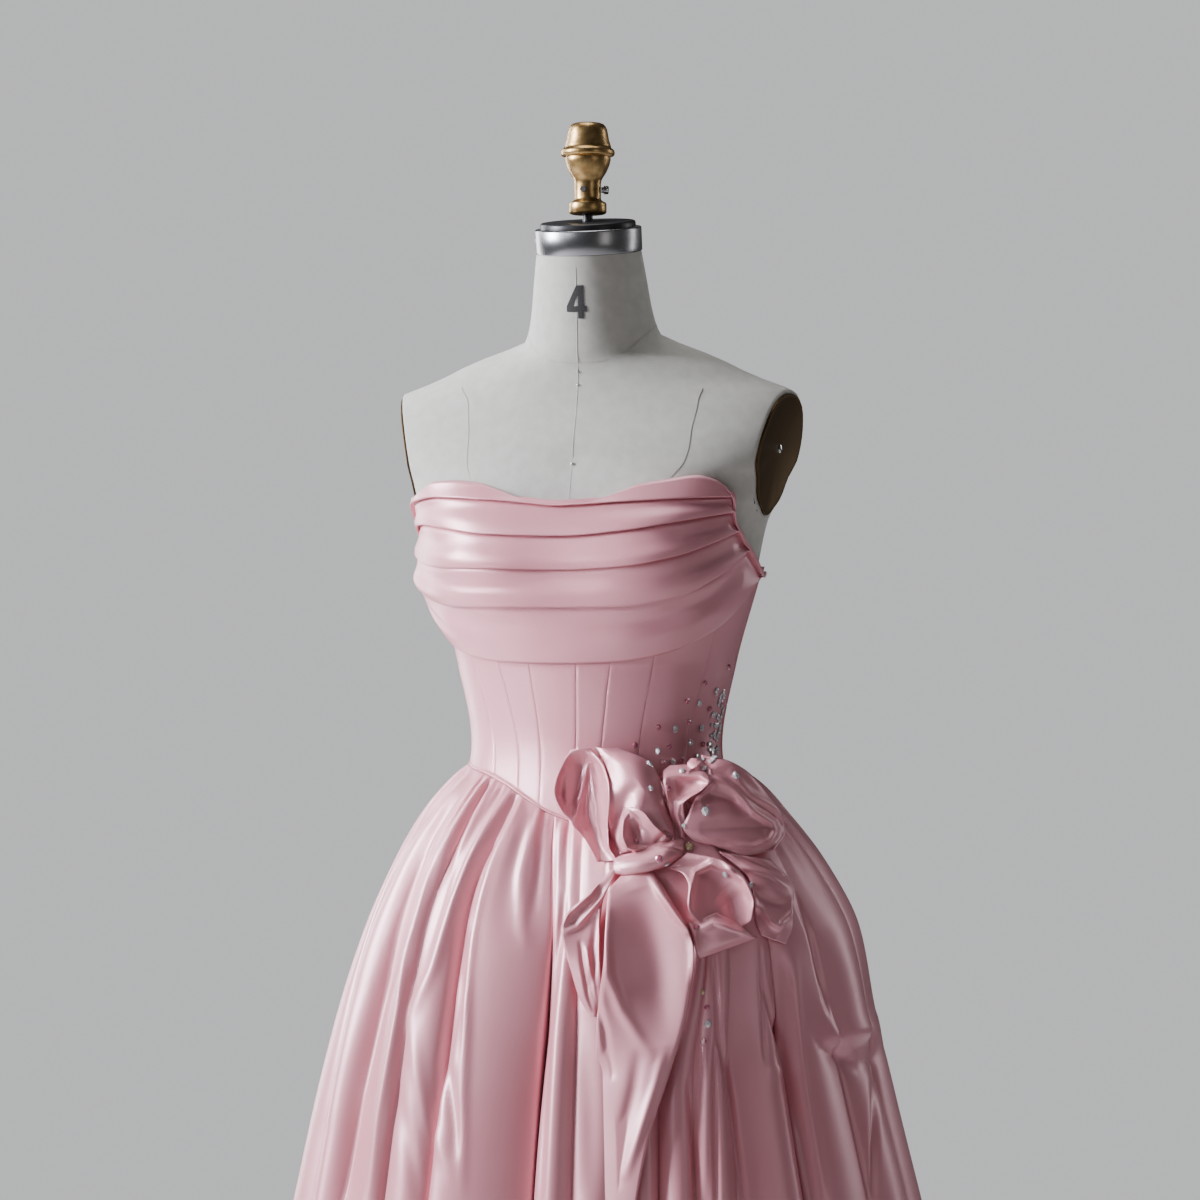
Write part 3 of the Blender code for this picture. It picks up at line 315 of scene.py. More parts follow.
# Each loop and tail of the rosette: a row for each section across it, in millimetres from the
# rosette's middle, with how far its two edges and its middle stand off the skirt.
Petal = namedtuple("Petal", "left left_up right right_up left_lift middle_lift right_lift")
PETALS = {
    "calla": [
        Petal(-65, 89, -46, 90, 12, 16, 12),
        Petal(-74, 74, -33, 73, 24, 5, 26),
        Petal(-81, 50, -29, 56, 31, 4, 30),
        Petal(-76, 35, -28, 37, 31, 4, 28),
        Petal(-65, 20, -30, 20, 26, 5, 24),
        Petal(-52, 4, -29, 0, 14, 8, 20),
        Petal(-40, -17, -20, -15, 7, 9, 8),
    ],
    "top_puff": [
        Petal(-42, 91, -20, 90, 8, 13, 6),
        Petal(-34, 76, 8, 79, 18, 30, 12),
        Petal(-30, 56, 21, 58, 24, 34, 15),
        Petal(-30, 33, 25, 36, 24, 28, 16),
        Petal(-27, 9, 33, 17, 17, 20, 14),
        Petal(-19, -9, 35, 2, 6, 10, 7),
    ],
    "scallop": [
        Petal(30, 74, 44, 75, 5, 8, 5),
        Petal(23, 68, 62, 70, 14, 18, 16),
        Petal(23, 60, 68, 61, 20, 17, 26),
        Petal(25, 50, 60, 52, 22, 16, 28),
        Petal(28, 34, 42, 38, 18, 14, 22),
        Petal(33, 18, 44, 20, 10, 10, 12),
        Petal(36, 9, 44, 5, 5, 6, 5),
    ],
    "small_loop": [
        Petal(50, 81, 60, 81, 8, 13, 8),
        Petal(46, 75, 65, 73, 10, 18, 10),
        Petal(46, 65, 67, 64, 10, 16, 10),
        Petal(37, 46, 56, 45, 7, 8, 7),
    ],
    "big_lobe": [
        Petal(62, 70, 60, 84, 6, 8, 5),
        Petal(56, 52, 82, 80, 14, 18, 15),
        Petal(48, 32, 102, 70, 17, 20, 20),
        Petal(42, 16, 123, 48, 15, 20, 22),
        Petal(52, 4, 138, 27, 12, 18, 22),
        Petal(76, -3, 141, 9, 9, 14, 17),
        Petal(98, -12, 130, -6, 5, 7, 7),
    ],
    "bowl": [
        Petal(26, -22, 46, -7, 6, 12, 10),
        Petal(41, -26, 76, -13, 18, 12, 24),
        Petal(46, -37, 100, -30, 24, 10, 30),
        Petal(45, -52, 107, -50, 24, 9, 32),
        Petal(50, -66, 105, -67, 18, 9, 26),
        Petal(65, -78, 95, -78, 6, 8, 8),
    ],
    "flap": [
        Petal(46, -72, 72, -62, 8, 12, 14),
        Petal(50, -86, 92, -70, 7, 15, 14),
        Petal(53, -98, 104, -81, 4, 12, 10),
        Petal(56, -105, 112, -86, 1, 3, 3),
    ],
    "crumple": [
        Petal(76, -7, 126, -15, 6, 10, 7),
        Petal(104, -32, 148, -42, 8, 16, 7),
        Petal(109, -52, 146, -61, 9, 6, 12),
        Petal(110, -70, 146, -75, 6, 13, 7),
        Petal(115, -84, 139, -93, 4, 7, 5),
    ],
    "leaf": [
        Petal(-17, -28, 12, -21, 7, 14, 8),
        Petal(-30, -46, 30, -51, 20, 14, 15),
        Petal(-32, -74, 45, -76, 27, 13, 16),
        Petal(-34, -107, 51, -102, 26, 11, 15),
        Petal(-38, -140, 47, -140, 18, 10, 14),
        Petal(-41, -175, 40, -172, 7, 9, 12),
        Petal(-42, -215, 27, -213, -6, 8, 10),
        Petal(-42, -260, 12, -258, -8, 4, 9),
        Petal(-41, -300, 2, -299, -9, 2, 7),
        Petal(-40, -345, -6, -344, -9, 0, 4),
    ],
    "tail": [
        Petal(-27, -24, -17, -17, 9, 12, 9),
        Petal(-47, -45, -27, -36, 15, 14, 11),
        Petal(-69, -65, -35, -57, 17, 11, 10),
        Petal(-74, -80, -37, -78, 15, 9, 9),
        Petal(-71, -97, -37, -100, 11, 9, 8),
        Petal(-65, -117, -36, -119, 7, 10, 7),
        Petal(-56, -145, -34, -145, 5, 8, 6),
        Petal(-46, -159, -36, -160, 4, 6, 4),
    ],
    "knot": [
        Petal(-25, -27, -24, -13, 9, 13, 9),
        Petal(-12, -28, -13, -9, 14, 20, 14),
        Petal(3, -26, 1, -5, 15, 23, 15),
        Petal(22, -21, 21, 4, 13, 23, 14),
        Petal(42, -11, 43, 5, 6, 10, 7),
    ],
    "inner_loop": [
        Petal(-14, 35, -7, 36, 30, 32, 30),
        Petal(-17, 26, 5, 31, 36, 29, 35),
        Petal(-17, 13, 13, 21, 37, 24, 34),
        Petal(-14, 1, 23, 12, 30, 19, 27),
        Petal(-3, -9, 31, 4, 13, 12, 13),
    ],
}
# The gathered roots that all the loops are sewn into, flat against the skirt.
ROSETTE_BACKING = [
    Petal(-11, 41, 41, 46, 0, 0, 0),
    Petal(-33, 0, 71, 2, 0, 0, 0),
    Petal(-32, -39, 97, -45, 0, 0, 0),
    Petal(-13, -74, 82, -78, 0, 0, 0),
]
BACKING_GAP = 0.0004


def smooth(places, values, at):
    """A curve through values at places that never overshoots them, read at `at`."""
    places = np.asarray(places, float)
    values = np.asarray(values, float)
    at = np.clip(np.asarray(at, float), places[0], places[-1])
    step = np.diff(places)
    rise = np.diff(values) / step
    before, after = rise[:-1], rise[1:]
    total = np.where(before + after == 0, 1.0, before + after)
    inner = np.where(before * after > 0, 2 * before * after / total, 0.0)
    slope = np.concatenate([rise[:1], inner, rise[-1:]])
    i = np.clip(np.searchsorted(places, at, side="right") - 1, 0, len(step) - 1)
    t = (at - places[i]) / step[i]
    start = (1 + 2 * t) * (1 - t) ** 2 * values[i] + t * (1 - t) ** 2 * step[i] * slope[i]
    end = t * t * (3 - 2 * t) * values[i + 1] + t * t * (t - 1) * step[i] * slope[i + 1]
    return start + end


def column(rows, name):
    return [getattr(row, name) for row in rows]


def follow(rows, along, value, at):
    """The column `value` of a table, read smoothly at places in its column `along`."""
    return smooth(column(rows, along), column(rows, value), at)


def bust_across(angle, surface):
    """The share of the bust's rise at an angle from the front."""
    bridge = BUST_BRIDGE[surface]
    inner = bridge + (1 - bridge) * np.sin(math.pi / 2 * np.minimum(angle / BUST_ANGLE, 1)) ** 2
    beyond = np.clip((angle - BUST_ANGLE) / (BUST_EDGE - BUST_ANGLE), 0, 1)
    return inner * np.cos(math.pi / 2 * beyond) ** 2


def form_halves(turn, height, out):
    """The form's half width and its reach to the front or back, each `out` beyond it."""
    front = follow(FORM_SECTIONS, "height", "front", height)
    back = follow(FORM_SECTIONS, "height", "back", height)
    reach = np.where(np.cos(turn) > 0, front, back) + out
    return follow(FORM_SECTIONS, "height", "half_width", height) + out, reach


def torso(angle, height, out=0.0, bust="form"):
    """Points on the dress form, or `out` beyond it."""
    angle, height = np.broadcast_arrays(np.asarray(angle, float), np.asarray(height, float))
    turn = np.radians(angle)
    half, reach = form_halves(turn, height, out)
    away = -reach * np.cos(turn)
    rise = bust_across(abs(angle), bust) * follow(BUST_HEIGHTS, "height", "share", height)
    x = half * np.sin(turn)
    y = follow(FORM_SECTIONS, "height", "centre", height) + away - BUST_RISE * rise
    z = height + follow(FORM_SECTIONS, "height", "lean", height) * away
    return np.stack([x, y, z], axis=-1)


def wrapped(angle):
    """An angle brought between -180 and 180 degrees."""
    return (np.asarray(angle, float) + 180) % 360 - 180


def waist_height(angle):
    return follow(WAIST_SEAM, "angle", "height", abs(wrapped(angle)))


def neck_height(angle):
    return follow(NECKLINE, "angle", "height", wrapped(angle))


def waist_outward(angle):
    """The level direction that points straight out of the waist seam."""
    turn = np.radians(angle)
    half, reach = form_halves(turn, waist_height(angle), BODICE_OUT)
    out = np.stack([np.sin(turn) / half, -np.cos(turn) / reach, np.zeros_like(turn)], axis=-1)
    return out / np.linalg.norm(out, axis=-1, keepdims=True)


def flare(angle, drop):
    """How far the fold crests stand beyond the waist seam."""
    turn = np.radians(angle)
    right = follow(SKIRT_FLARE, "drop", "right", drop)
    left = follow(SKIRT_FLARE, "drop", "left", drop)
    front = follow(SKIRT_FLARE, "drop", "front", drop)
    back = follow(SKIRT_FLARE, "drop", "back", drop)
    side = np.where(np.sin(turn) < 0, right, left)
    end = np.where(np.cos(turn) > 0, front, back)
    return np.sin(turn) ** 2 * side + np.cos(turn) ** 2 * end


def puff(angle, drop):
    """The extra reach of the picked-up puff on the left hip."""
    aside = np.clip(abs(wrapped(angle) - PUFF_ANGLE) / PUFF_HALF_ANGLE, 0, 1)
    return follow(PUFF_ROWS, "drop", "rise", drop) * np.cos(aside * math.pi / 2) ** 2


def crest(angle, drop, inside=0.0):
    """Points on the smooth surface that the skirt's fold crests touch, or `inside` it."""
    angle, drop, inside = np.broadcast_arrays(angle, drop, inside)
    nudge = 0.004
    slope = (flare(angle, drop + nudge) - flare(angle, drop - nudge)) / (2 * nudge)
    slope = np.where(drop < nudge, slope * 2, slope)
    steep = np.sqrt(1 + slope**2)
    out = waist_outward(angle)
    point = torso(wrapped(angle), waist_height(angle), BODICE_OUT, "bodice")
    point = point + out * (flare(angle, drop) + puff(angle, drop) - inside / steep)[..., None]
    point[..., 2] -= drop + inside * slope / steep
    return point


def fold_columns(places, drop):
    """Valley angles and depths at places counted in folds, which may run past either end."""
    count = len(SKIRT_FOLDS)
    turns, index = np.divmod(places, count)
    angles = np.zeros(np.broadcast(places, drop).shape)
    depths = np.zeros_like(angles)
    depth_drops = (0.0, GATHER_DROP, *FOLD_DROPS[1:])
    for number, fold in enumerate(SKIRT_FOLDS):
        here = np.broadcast_to(index == number, angles.shape)
        path = smooth(FOLD_DROPS, (fold.waist, fold.upper, fold.lower, fold.hem), drop)
        sizes = (DEPTH_AT_SEAM, DEPTH_AT_GATHERS, fold.upper_depth, fold.lower_depth, fold.hem_depth)
        deep = smooth(depth_drops, sizes, drop)
        angles = np.where(here, path + 360 * turns, angles)
        depths = np.where(here, deep, depths)
    return angles, depths


def hip_surface(angle, height):
    """The bodice or skirt that the rosette lies on."""
    drop = waist_height(angle) - height
    above = torso(angle, np.maximum(height, waist_height(angle)), BODICE_OUT, "bodice")
    return np.where((drop > 0)[..., None], crest(angle, np.maximum(drop, 0)), above)


def hip_depth(reach, height):
    """How far out the bodice or skirt lies, seen from the side that the rosette faces."""
    low = np.full_like(reach, -60.0)
    high = np.full_like(reach, 89.0)
    for _ in range(36):
        middle = (low + high) / 2
        beyond = hip_surface(middle, height) @ ACROSS > reach
        high = np.where(beyond, middle, high)
        low = np.where(beyond, low, middle)
    return hip_surface(middle, height) @ OUTWARD


def on_hip(across, up, lift):
    """A point of the rosette, across and up from its middle and lifted off the skirt."""
    reach = ROSETTE_ACROSS + across
    height = ROSETTE_HEIGHT + up
    resting = np.minimum(height, ROSETTE_REST)
    leaned = hip_depth(reach, resting) - ROSETTE_LEAN * (height - resting)
    depth = np.maximum(leaned, hip_depth(reach, height)) + lift
    point = ACROSS * reach[..., None] + OUTWARD * depth[..., None]
    point[..., 2] = height
    return point


def petal_grid(sections, steps, columns):
    """Across, up and lift over a petal, in metres, with `steps` rows to each section."""
    places = np.arange(len(sections))
    at = np.linspace(0, len(sections) - 1, (len(sections) - 1) * steps + 1)
    rows = {name: smooth(places, column(sections, name), at)[:, None] / 1000 for name in Petal._fields}
    t = np.linspace(0, 1, columns)[None, :]
    across = rows["left"] + t * (rows["right"] - rows["left"])
    up = rows["left_up"] + t * (rows["right_up"] - rows["left_up"])
    lift = (
        rows["left_lift"] * (1 - t) * (1 - 2 * t)
        + rows["middle_lift"] * 4 * t * (1 - t)
        + rows["right_lift"] * t * (2 * t - 1)
    )
    return across, up, lift


# The camera stands where the photographer stood: level, a little to the wearer's left.
CAMERA_TURN = math.radians(15)
CAMERA_AWAY = 4.0
CAMERA_ASIDE = 0.0108
EYE_HEIGHT = 1.2021
LENS = 122.4
SENSOR = 36.0
PICTURE = 1200
VIEW = np.array([-math.sin(CAMERA_TURN), math.cos(CAMERA_TURN), 0.0])
RIGHT = np.array([math.cos(CAMERA_TURN), math.sin(CAMERA_TURN), 0.0])
CAMERA_PLACE = -CAMERA_AWAY * VIEW + CAMERA_ASIDE * RIGHT + np.array([0.0, 0.0, EYE_HEIGHT])


def seen(points):
    """Where points of the part are seen in the photograph, in its pixels."""
    away = points - CAMERA_PLACE
    focal = LENS / SENSOR * PICTURE / (away @ VIEW)
    return PICTURE / 2 + (away @ RIGHT) * focal, PICTURE / 2 - away[..., 2] * focal


# The front that the photograph shows, as angles, and how it fades out at its sides.
SEEN_MIDDLE = 15
SEEN_HALF = 100
SEEN_FADE = 15

# Creases pressed into a surface: how wide each is and how deep, then its line. A
# negative depth makes a ridge. Each one fades out at both of its ends.
Crease = namedtuple("Crease", "width depth points")
CREASE_REACH = 3
# The skirt's creases follow the photograph's pixels, which are about a millimetre wide there.
# Widths are in pixels and depths in millimetres.
SKIRT_CREASES = {
    "first_fold": Crease(8, -2.5, ((430, 822), (406, 857), (377, 922), (353, 989), (339, 1063), (326, 1130))),
    "first_hollow": Crease(9, 6.5, ((430, 852), (418, 881), (397, 945), (377, 1004), (356, 1092),
        (342, 1200))),
    "second_edge": Crease(4, -3.0, ((459, 784), (447, 816), (430, 863), (421, 904), (406, 957), (400, 1010),
        (389, 1063), (377, 1121), (368, 1200))),
    "second_hollow": Crease(5, 3.5, ((468, 812), (456, 837), (439, 904), (424, 960), (418, 984))),
    "third_edge": Crease(5, -3.0, ((496, 799), (468, 863), (453, 904), (433, 969), (412, 1013), (404, 1040))),
    "third_hollow": Crease(6, 6.5, ((492, 840), (480, 863), (462, 922), (456, 989), (444, 1063),
        (453, 1127), (455, 1160))),
    "branch": Crease(6, -2.0, ((408, 1000), (418, 1077), (427, 1121), (447, 1162), (456, 1190))),
    "under_branch": Crease(7, 2.0, ((397, 1080), (400, 1107), (409, 1151), (418, 1200))),
    "panel_edge": Crease(5, -3.0, ((523, 796), (497, 837), (482, 881), (472, 922), (466, 969),
        (465, 1019), (462, 1092), (462, 1200))),
    "panel_edge_line": Crease(2.5, 3.0, ((519, 800), (515, 807), (491, 846), (477, 893),
        (468, 940), (460, 1004), (458, 1060))),
    "blade": Crease(7, -3.0, ((543, 785), (529, 828), (521, 872), (522, 922), (528, 950))),
    "blade_side": Crease(4, 2.0, ((549, 800), (540, 835), (537, 880), (534, 915))),
    "deep_valley": Crease(4, 9.0, ((563, 890), (562, 916), (556, 960), (548, 1033),
        (544, 1107), (540, 1200), (538, 1230))),
    "tube_hollow": Crease(12, 4.0, ((583, 1010), (587, 1060), (590, 1120), (590, 1200))),
    "pleat_one": Crease(3, 6.0, ((713, 950), (715, 963), (718, 1031), (730, 1094), (744, 1200), (750, 1240))),
    "pleat_two": Crease(3, 4.5, ((714, 1030), (715, 1045), (715, 1120), (717, 1200), (718, 1240))),
    "pleat_ridge": Crease(5, -3.0, ((703, 1030), (705, 1070), (704, 1130), (704, 1200))),
    "pleat_three": Crease(3, 4.5, ((688, 1080), (691, 1106), (694, 1150), (695, 1200), (696, 1240))),
    "side_line": Crease(2, 2.5, ((761, 946), (762, 980), (764, 1030), (766, 1067))),
    "over_panel": Crease(3.5, 9.0, ((762, 975), (770, 1005), (783, 1041), (793, 1082),
        (805, 1142), (815, 1200), (822, 1240))),
    "over_panel_edge": Crease(5, -3.0, ((795, 955), (797, 1011), (800, 1050), (806, 1092),
        (814, 1140), (824, 1200))),
    "pocket": Crease(9, 7.0, ((776, 950), (778, 963), (785, 1009), (789, 1045), (793, 1070))),
    "puff_rim": Crease(6, -2.5, ((822, 1000), (827, 1016), (839, 1043), (853, 1054),
        (868, 1050), (874, 1031), (876, 1010))),
    "under_puff": Crease(5, 3.0, ((812, 1030), (822, 1045), (841, 1060), (858, 1067),
        (873, 1060), (882, 1045))),
    "puff_line": Crease(2.5, 3.5, ((797, 895), (800, 905), (817, 948), (827, 992), (829, 1016))),
    "puff_hollow": Crease(18, 4.0, ((812, 935), (832, 985), (845, 1025))),
    "small_fold": Crease(4, -2.0, ((762, 1066), (775, 1070), (788, 1068))),
    "side_valley": Crease(3, 4.5, ((873, 1065), (874, 1110), (873, 1160), (872, 1200))),
}
# The hidden sides carry like creases, as angles and drops, with widths and depths in metres.
DEGREE_ON_SKIRT = 0.0045
BACK_UNEVENNESS = 0.5
BACK_CREASES = {
    "left_side_one": Crease(0.010, 0.006, ((112, 0.06), (115, 0.22), (121, 0.42), (124, 0.60))),
    "left_side_two": Crease(0.007, -0.004, ((126, 0.10), (128, 0.30), (126, 0.52), (128, 0.74))),
    "left_back_one": Crease(0.008, 0.006, ((146, 0.04), (143, 0.20), (145, 0.40), (150, 0.66))),
    "left_back_two": Crease(0.012, -0.005, ((160, 0.14), (156, 0.36), (158, 0.58), (163, 0.90))),
    "left_back_branch": Crease(0.006, 0.005, ((157, 0.40), (152, 0.56), (149, 0.80))),
    "back_one": Crease(0.008, 0.006, ((172, 0.03), (174, 0.18), (170, 0.38), (172, 0.60))),
    "back_two": Crease(0.009, -0.005, ((186, 0.08), (189, 0.28), (187, 0.50), (190, 0.82))),
    "right_back_one": Crease(0.007, 0.006, ((198, 0.04), (201, 0.22), (199, 0.44), (203, 0.70))),
    "right_back_two": Crease(0.012, -0.005, ((214, 0.12), (217, 0.34), (213, 0.58), (215, 0.86))),
    "right_back_branch": Crease(0.006, 0.005, ((216, 0.30), (221, 0.48), (222, 0.72))),
    "right_side_one": Crease(0.010, 0.006, ((236, 0.05), (241, 0.25), (244, 0.46), (243, 0.70))),
    "right_side_two": Crease(0.007, -0.004, ((254, 0.08), (252, 0.28), (256, 0.50), (258, 0.76))),
    "right_side_three": Crease(0.009, 0.005, ((266, 0.10), (269, 0.30), (268, 0.52))),
}
# Soft pulls along the bust drape, as angles and heights.
DEGREE_ON_BUST = 0.0024
DRAPE_CREASES = {
    "left_low": Crease(0.006, 0.0022, ((18, 1.214), (40, 1.226), (60, 1.248), (76, 1.268))),
    "left_middle": Crease(0.006, 0.0020, ((12, 1.248), (36, 1.256), (58, 1.274), (72, 1.284))),
    "left_lowest": Crease(0.008, 0.0026, ((8, 1.175), (34, 1.184), (56, 1.206), (72, 1.238))),
    "left_lowest_ridge": Crease(0.006, -0.0014, ((20, 1.160), (44, 1.172), (62, 1.196))),
    "right_low": Crease(0.008, 0.0024, ((-80, 1.208), (-60, 1.196), (-40, 1.182), (-16, 1.176))),
    "right_middle": Crease(0.006, 0.0018, ((-82, 1.236), (-62, 1.222), (-40, 1.216), (-12, 1.212))),
    "right_top": Crease(0.005, 0.0014, ((-80, 1.278), (-60, 1.262), (-38, 1.252))),
    "right_edge_pull": Crease(0.004, 0.0016, ((-78, 1.200), (-66, 1.184), (-52, 1.166))),
}


def crease_depth(across, down, creases, across_scale=1.0):
    """How deep the creases press a surface in at each place."""
    across, down = np.broadcast_arrays(across * across_scale, down)
    total = np.zeros(across.shape)
    for crease in creases.values():
        points = np.array(crease.points, float) * (across_scale, 1.0)
        low = points.min(axis=0) - CREASE_REACH * crease.width
        high = points.max(axis=0) + CREASE_REACH * crease.width
        near = (across > low[0]) & (across < high[0]) & (down > low[1]) & (down < high[1])
        places = np.stack([across[near], down[near]], axis=-1)
        lengths = np.linalg.norm(np.diff(points, axis=0), axis=1)
        run = np.concatenate([[0.0], np.cumsum(lengths)])
        nearest = np.full(len(places), 1e9)
        along = np.zeros(len(places))
        for start, end, length, before in zip(points, points[1:], lengths, run):
            way = (end - start) / length
            reach = np.clip((places - start) @ way, 0, length)
            away = np.linalg.norm(places - start - reach[:, None] * way, axis=-1)
            along = np.where(away < nearest, before + reach, along)
            nearest = np.minimum(nearest, away)
        fade = np.sin(math.pi * np.clip(along / run[-1], 0, 1)) ** 0.6
        total[near] += crease.depth * fade * np.exp(-((nearest / crease.width) ** 2))
    return total


# How thick the satin of the skirt and the bodice is.
SHELL_WALL = 0.0009


def own(piece, slot, *nodes):
    """Puts a piece on the part: it rides on the one body and stands for its CAD nodes."""
    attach(piece, "root")
    if nodes:
        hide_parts(*nodes)
    return piece


def new_object(name, body, material, sharp=40):
    mesh = bpy.data.meshes.new(name)
    body.to_mesh(mesh)
    body.free()
    mesh.shade_smooth()
    mesh.set_sharp_from_angle(angle=math.radians(sharp))
    mesh.materials.append(material)
    piece = bpy.data.objects.new(name, mesh)
    bpy.context.scene.collection.objects.link(piece)
    return piece


def sheet_object(name, grid, material, outward, thickness=0.0):
    """A sheet through a grid of points; outward(points) gives the way its face looks."""
    rows, columns = grid.shape[:2]
    index = np.arange(rows * columns).reshape(rows, columns)
    corners = [index[:-1, :-1], index[:-1, 1:], index[1:, 1:], index[1:, :-1]]
    quads = np.stack(corners, axis=-1).reshape(-1, 4)
    middle_row, middle_column = rows // 2, columns // 2
    along = grid[middle_row, middle_column] - grid[middle_row, middle_column - 1]
    down = grid[middle_row, middle_column] - grid[middle_row - 1, middle_column]
    if np.cross(along, down) @ outward(grid[middle_row, middle_column]) < 0:
        quads = quads[:, ::-1]
    mesh = bpy.data.meshes.new(name)
    mesh.from_pydata(grid.reshape(-1, 3).tolist(), [], quads.tolist())
    mesh.validate()
    mesh.shade_smooth()
    mesh.materials.append(material)
    piece = bpy.data.objects.new(name, mesh)
    bpy.context.scene.collection.objects.link(piece)
    if thickness:
        wall = piece.modifiers.new("wall", "SOLIDIFY")
        wall.thickness = thickness
        wall.offset = -1
    return piece


def from_pole(point):
    return np.array([point[0], point[1] - 0.03, 0.0])


def to_rosette_side(point):
    return OUTWARD


def waves(u, v, rows):
    """A sum of slow waves, each (u rate, v rate, turn, size)."""
    return sum(size * np.sin(a * u + b * v + turn) for a, b, turn, size in rows)


# Slow unevenness of the satin: rates along the fold count and down the skirt, then size.
SKIRT_WAVES = (
    (1.7, 9.0, 0.4, 0.0012),
    (2.9, -14.0, 1.9, 0.0007),
)
GATHER_ROWS = ((0.0, 0.0002), (0.010, 0.0032), (0.035, 0.0042), (0.080, 0.0020), (0.150, 0.0), (1.04, 0.0))
PLEAT_ROWS_FINE = ((0.0, 0.0006), (0.006, 0.0012), (0.025, 0.0006), (0.050, 0.0), (1.04, 0.0))
# The puff on the left hip is drawn taut, so its folds are shallow there.
TAUT_ROWS = ((0.0, 0.0), (0.03, 0.85), (0.20, 0.9), (0.27, 0.0), (1.04, 0.0))
TAUT_ANGLE = 66
TAUT_HALF_ANGLE = 30
# Under the rosette there are no small gathers.
COVERED_ANGLE = 16
COVERED_HALF_ANGLE = 24
COVERED_ROWS = ((0.0, 0.0), (0.02, 0.8), (0.08, 0.8), (0.13, 0.0), (1.04, 0.0))
FRONT_STEPS = (34, 160)
BACK_STEPS = (20, 110)


def read_pairs(pairs, at):
    return smooth([pair[0] for pair in pairs], [pair[1] for pair in pairs], at)


def fine_skirt(place, share):
    """The skirt's outer face with its small gathers and creases."""
    place, share = np.broadcast_arrays(np.asarray(place, float), np.asarray(share, float))
    longest = WAIST_SEAM[-1].height - HEM_HEIGHT
    valley = np.floor(np.minimum(place, len(SKIRT_FOLDS) * 2))
    part = place - valley
    start, start_depth = fold_columns(valley, share * longest)
    end, end_depth = fold_columns(valley + 1, share * longest)
    angle = start + part * (end - start)
    drop = share * (waist_height(angle) - HEM_HEIGHT)
    crests = np.array(column(SKIRT_FOLDS, "crest"))[valley.astype(int) % len(SKIRT_FOLDS)]
    bent = np.clip(part, 1e-9, 1) ** (math.log(0.5) / np.log(crests))
    arch = np.sin(math.pi * bent) ** FOLD_ROUNDNESS
    depth = (start_depth + part * (end_depth - start_depth)) * (1 - arch)
    uneven = 1 + 0.35 * np.sin(2.9 * valley + 1.1) + 0.25 * np.sin(17.0 * place)
    gathers = read_pairs(GATHER_ROWS, drop) * uneven * np.cos(2 * math.pi * part) ** 2
    pleats = read_pairs(PLEAT_ROWS_FINE, drop) * np.cos(4 * math.pi * part + 0.8 * np.sin(5 * place)) ** 2
    taut = read_pairs(TAUT_ROWS, drop) * np.clip(1 - abs(angle - TAUT_ANGLE) / TAUT_HALF_ANGLE, 0, 1) ** 0.5
    covered = np.clip(1 - abs(angle - COVERED_ANGLE) / COVERED_HALF_ANGLE, 0, 1) ** 0.5
    depth = depth * (1 - taut) * (1 - covered * read_pairs(COVERED_ROWS, drop))
    gathers = gathers * (1 - np.maximum(taut, covered))
    pleats = pleats * (1 - np.maximum(taut, covered))
    behind = np.clip((abs(wrapped(angle - SEEN_MIDDLE)) - SEEN_HALF) / SEEN_FADE + 1, 0, 1)
    depth = depth * (1 - BACK_UNEVENNESS * behind * np.sin(2.1 * valley + 4.0 * drop) ** 2)
    settled = np.clip(drop / 0.10, 0, 1)
    uneven_depth = waves(place, drop, SKIRT_WAVES) * settled
    x, y = seen(crest(angle, drop, depth))
    facing = np.clip((SEEN_HALF - abs(wrapped(angle - SEEN_MIDDLE))) / SEEN_FADE, 0, 1)
    pressed = crease_depth(x, y, SKIRT_CREASES) * facing / 1000
    pressed = pressed + crease_depth(angle % 360, drop, BACK_CREASES, DEGREE_ON_SKIRT)
    return crest(angle, drop, depth + gathers + pleats + uneven_depth + pressed)


def make_skirt(satin):
    pieces = []
    for name, first, last in SKIRT_PANELS:
        columns, rows = FRONT_STEPS if last <= SKIRT_PANELS[2][2] else BACK_STEPS
        share = np.linspace(0, 1, rows + 1)[:, None] ** 1.25
        place = np.linspace(first, last, (last - first) * columns + 1)[None, :]
        grid = fine_skirt(place, share)
        piece = sheet_object(f"{name}_satin", grid, satin, from_pole, SHELL_WALL)
        pieces.append(own(piece, "pink_satin", name))
    return pieces


BODICE_FINE_COLUMNS = 26
BODICE_FINE_ROWS = 64
SEAM_DIP = 0.00045
SEAM_HALF_WIDTH = 0.0008
SEAM_SWELL = 0.00012
BODICE_WAVES = ((0.05, 40.0, 0.3, 0.00025), (0.03, -65.0, 2.0, 0.0002))


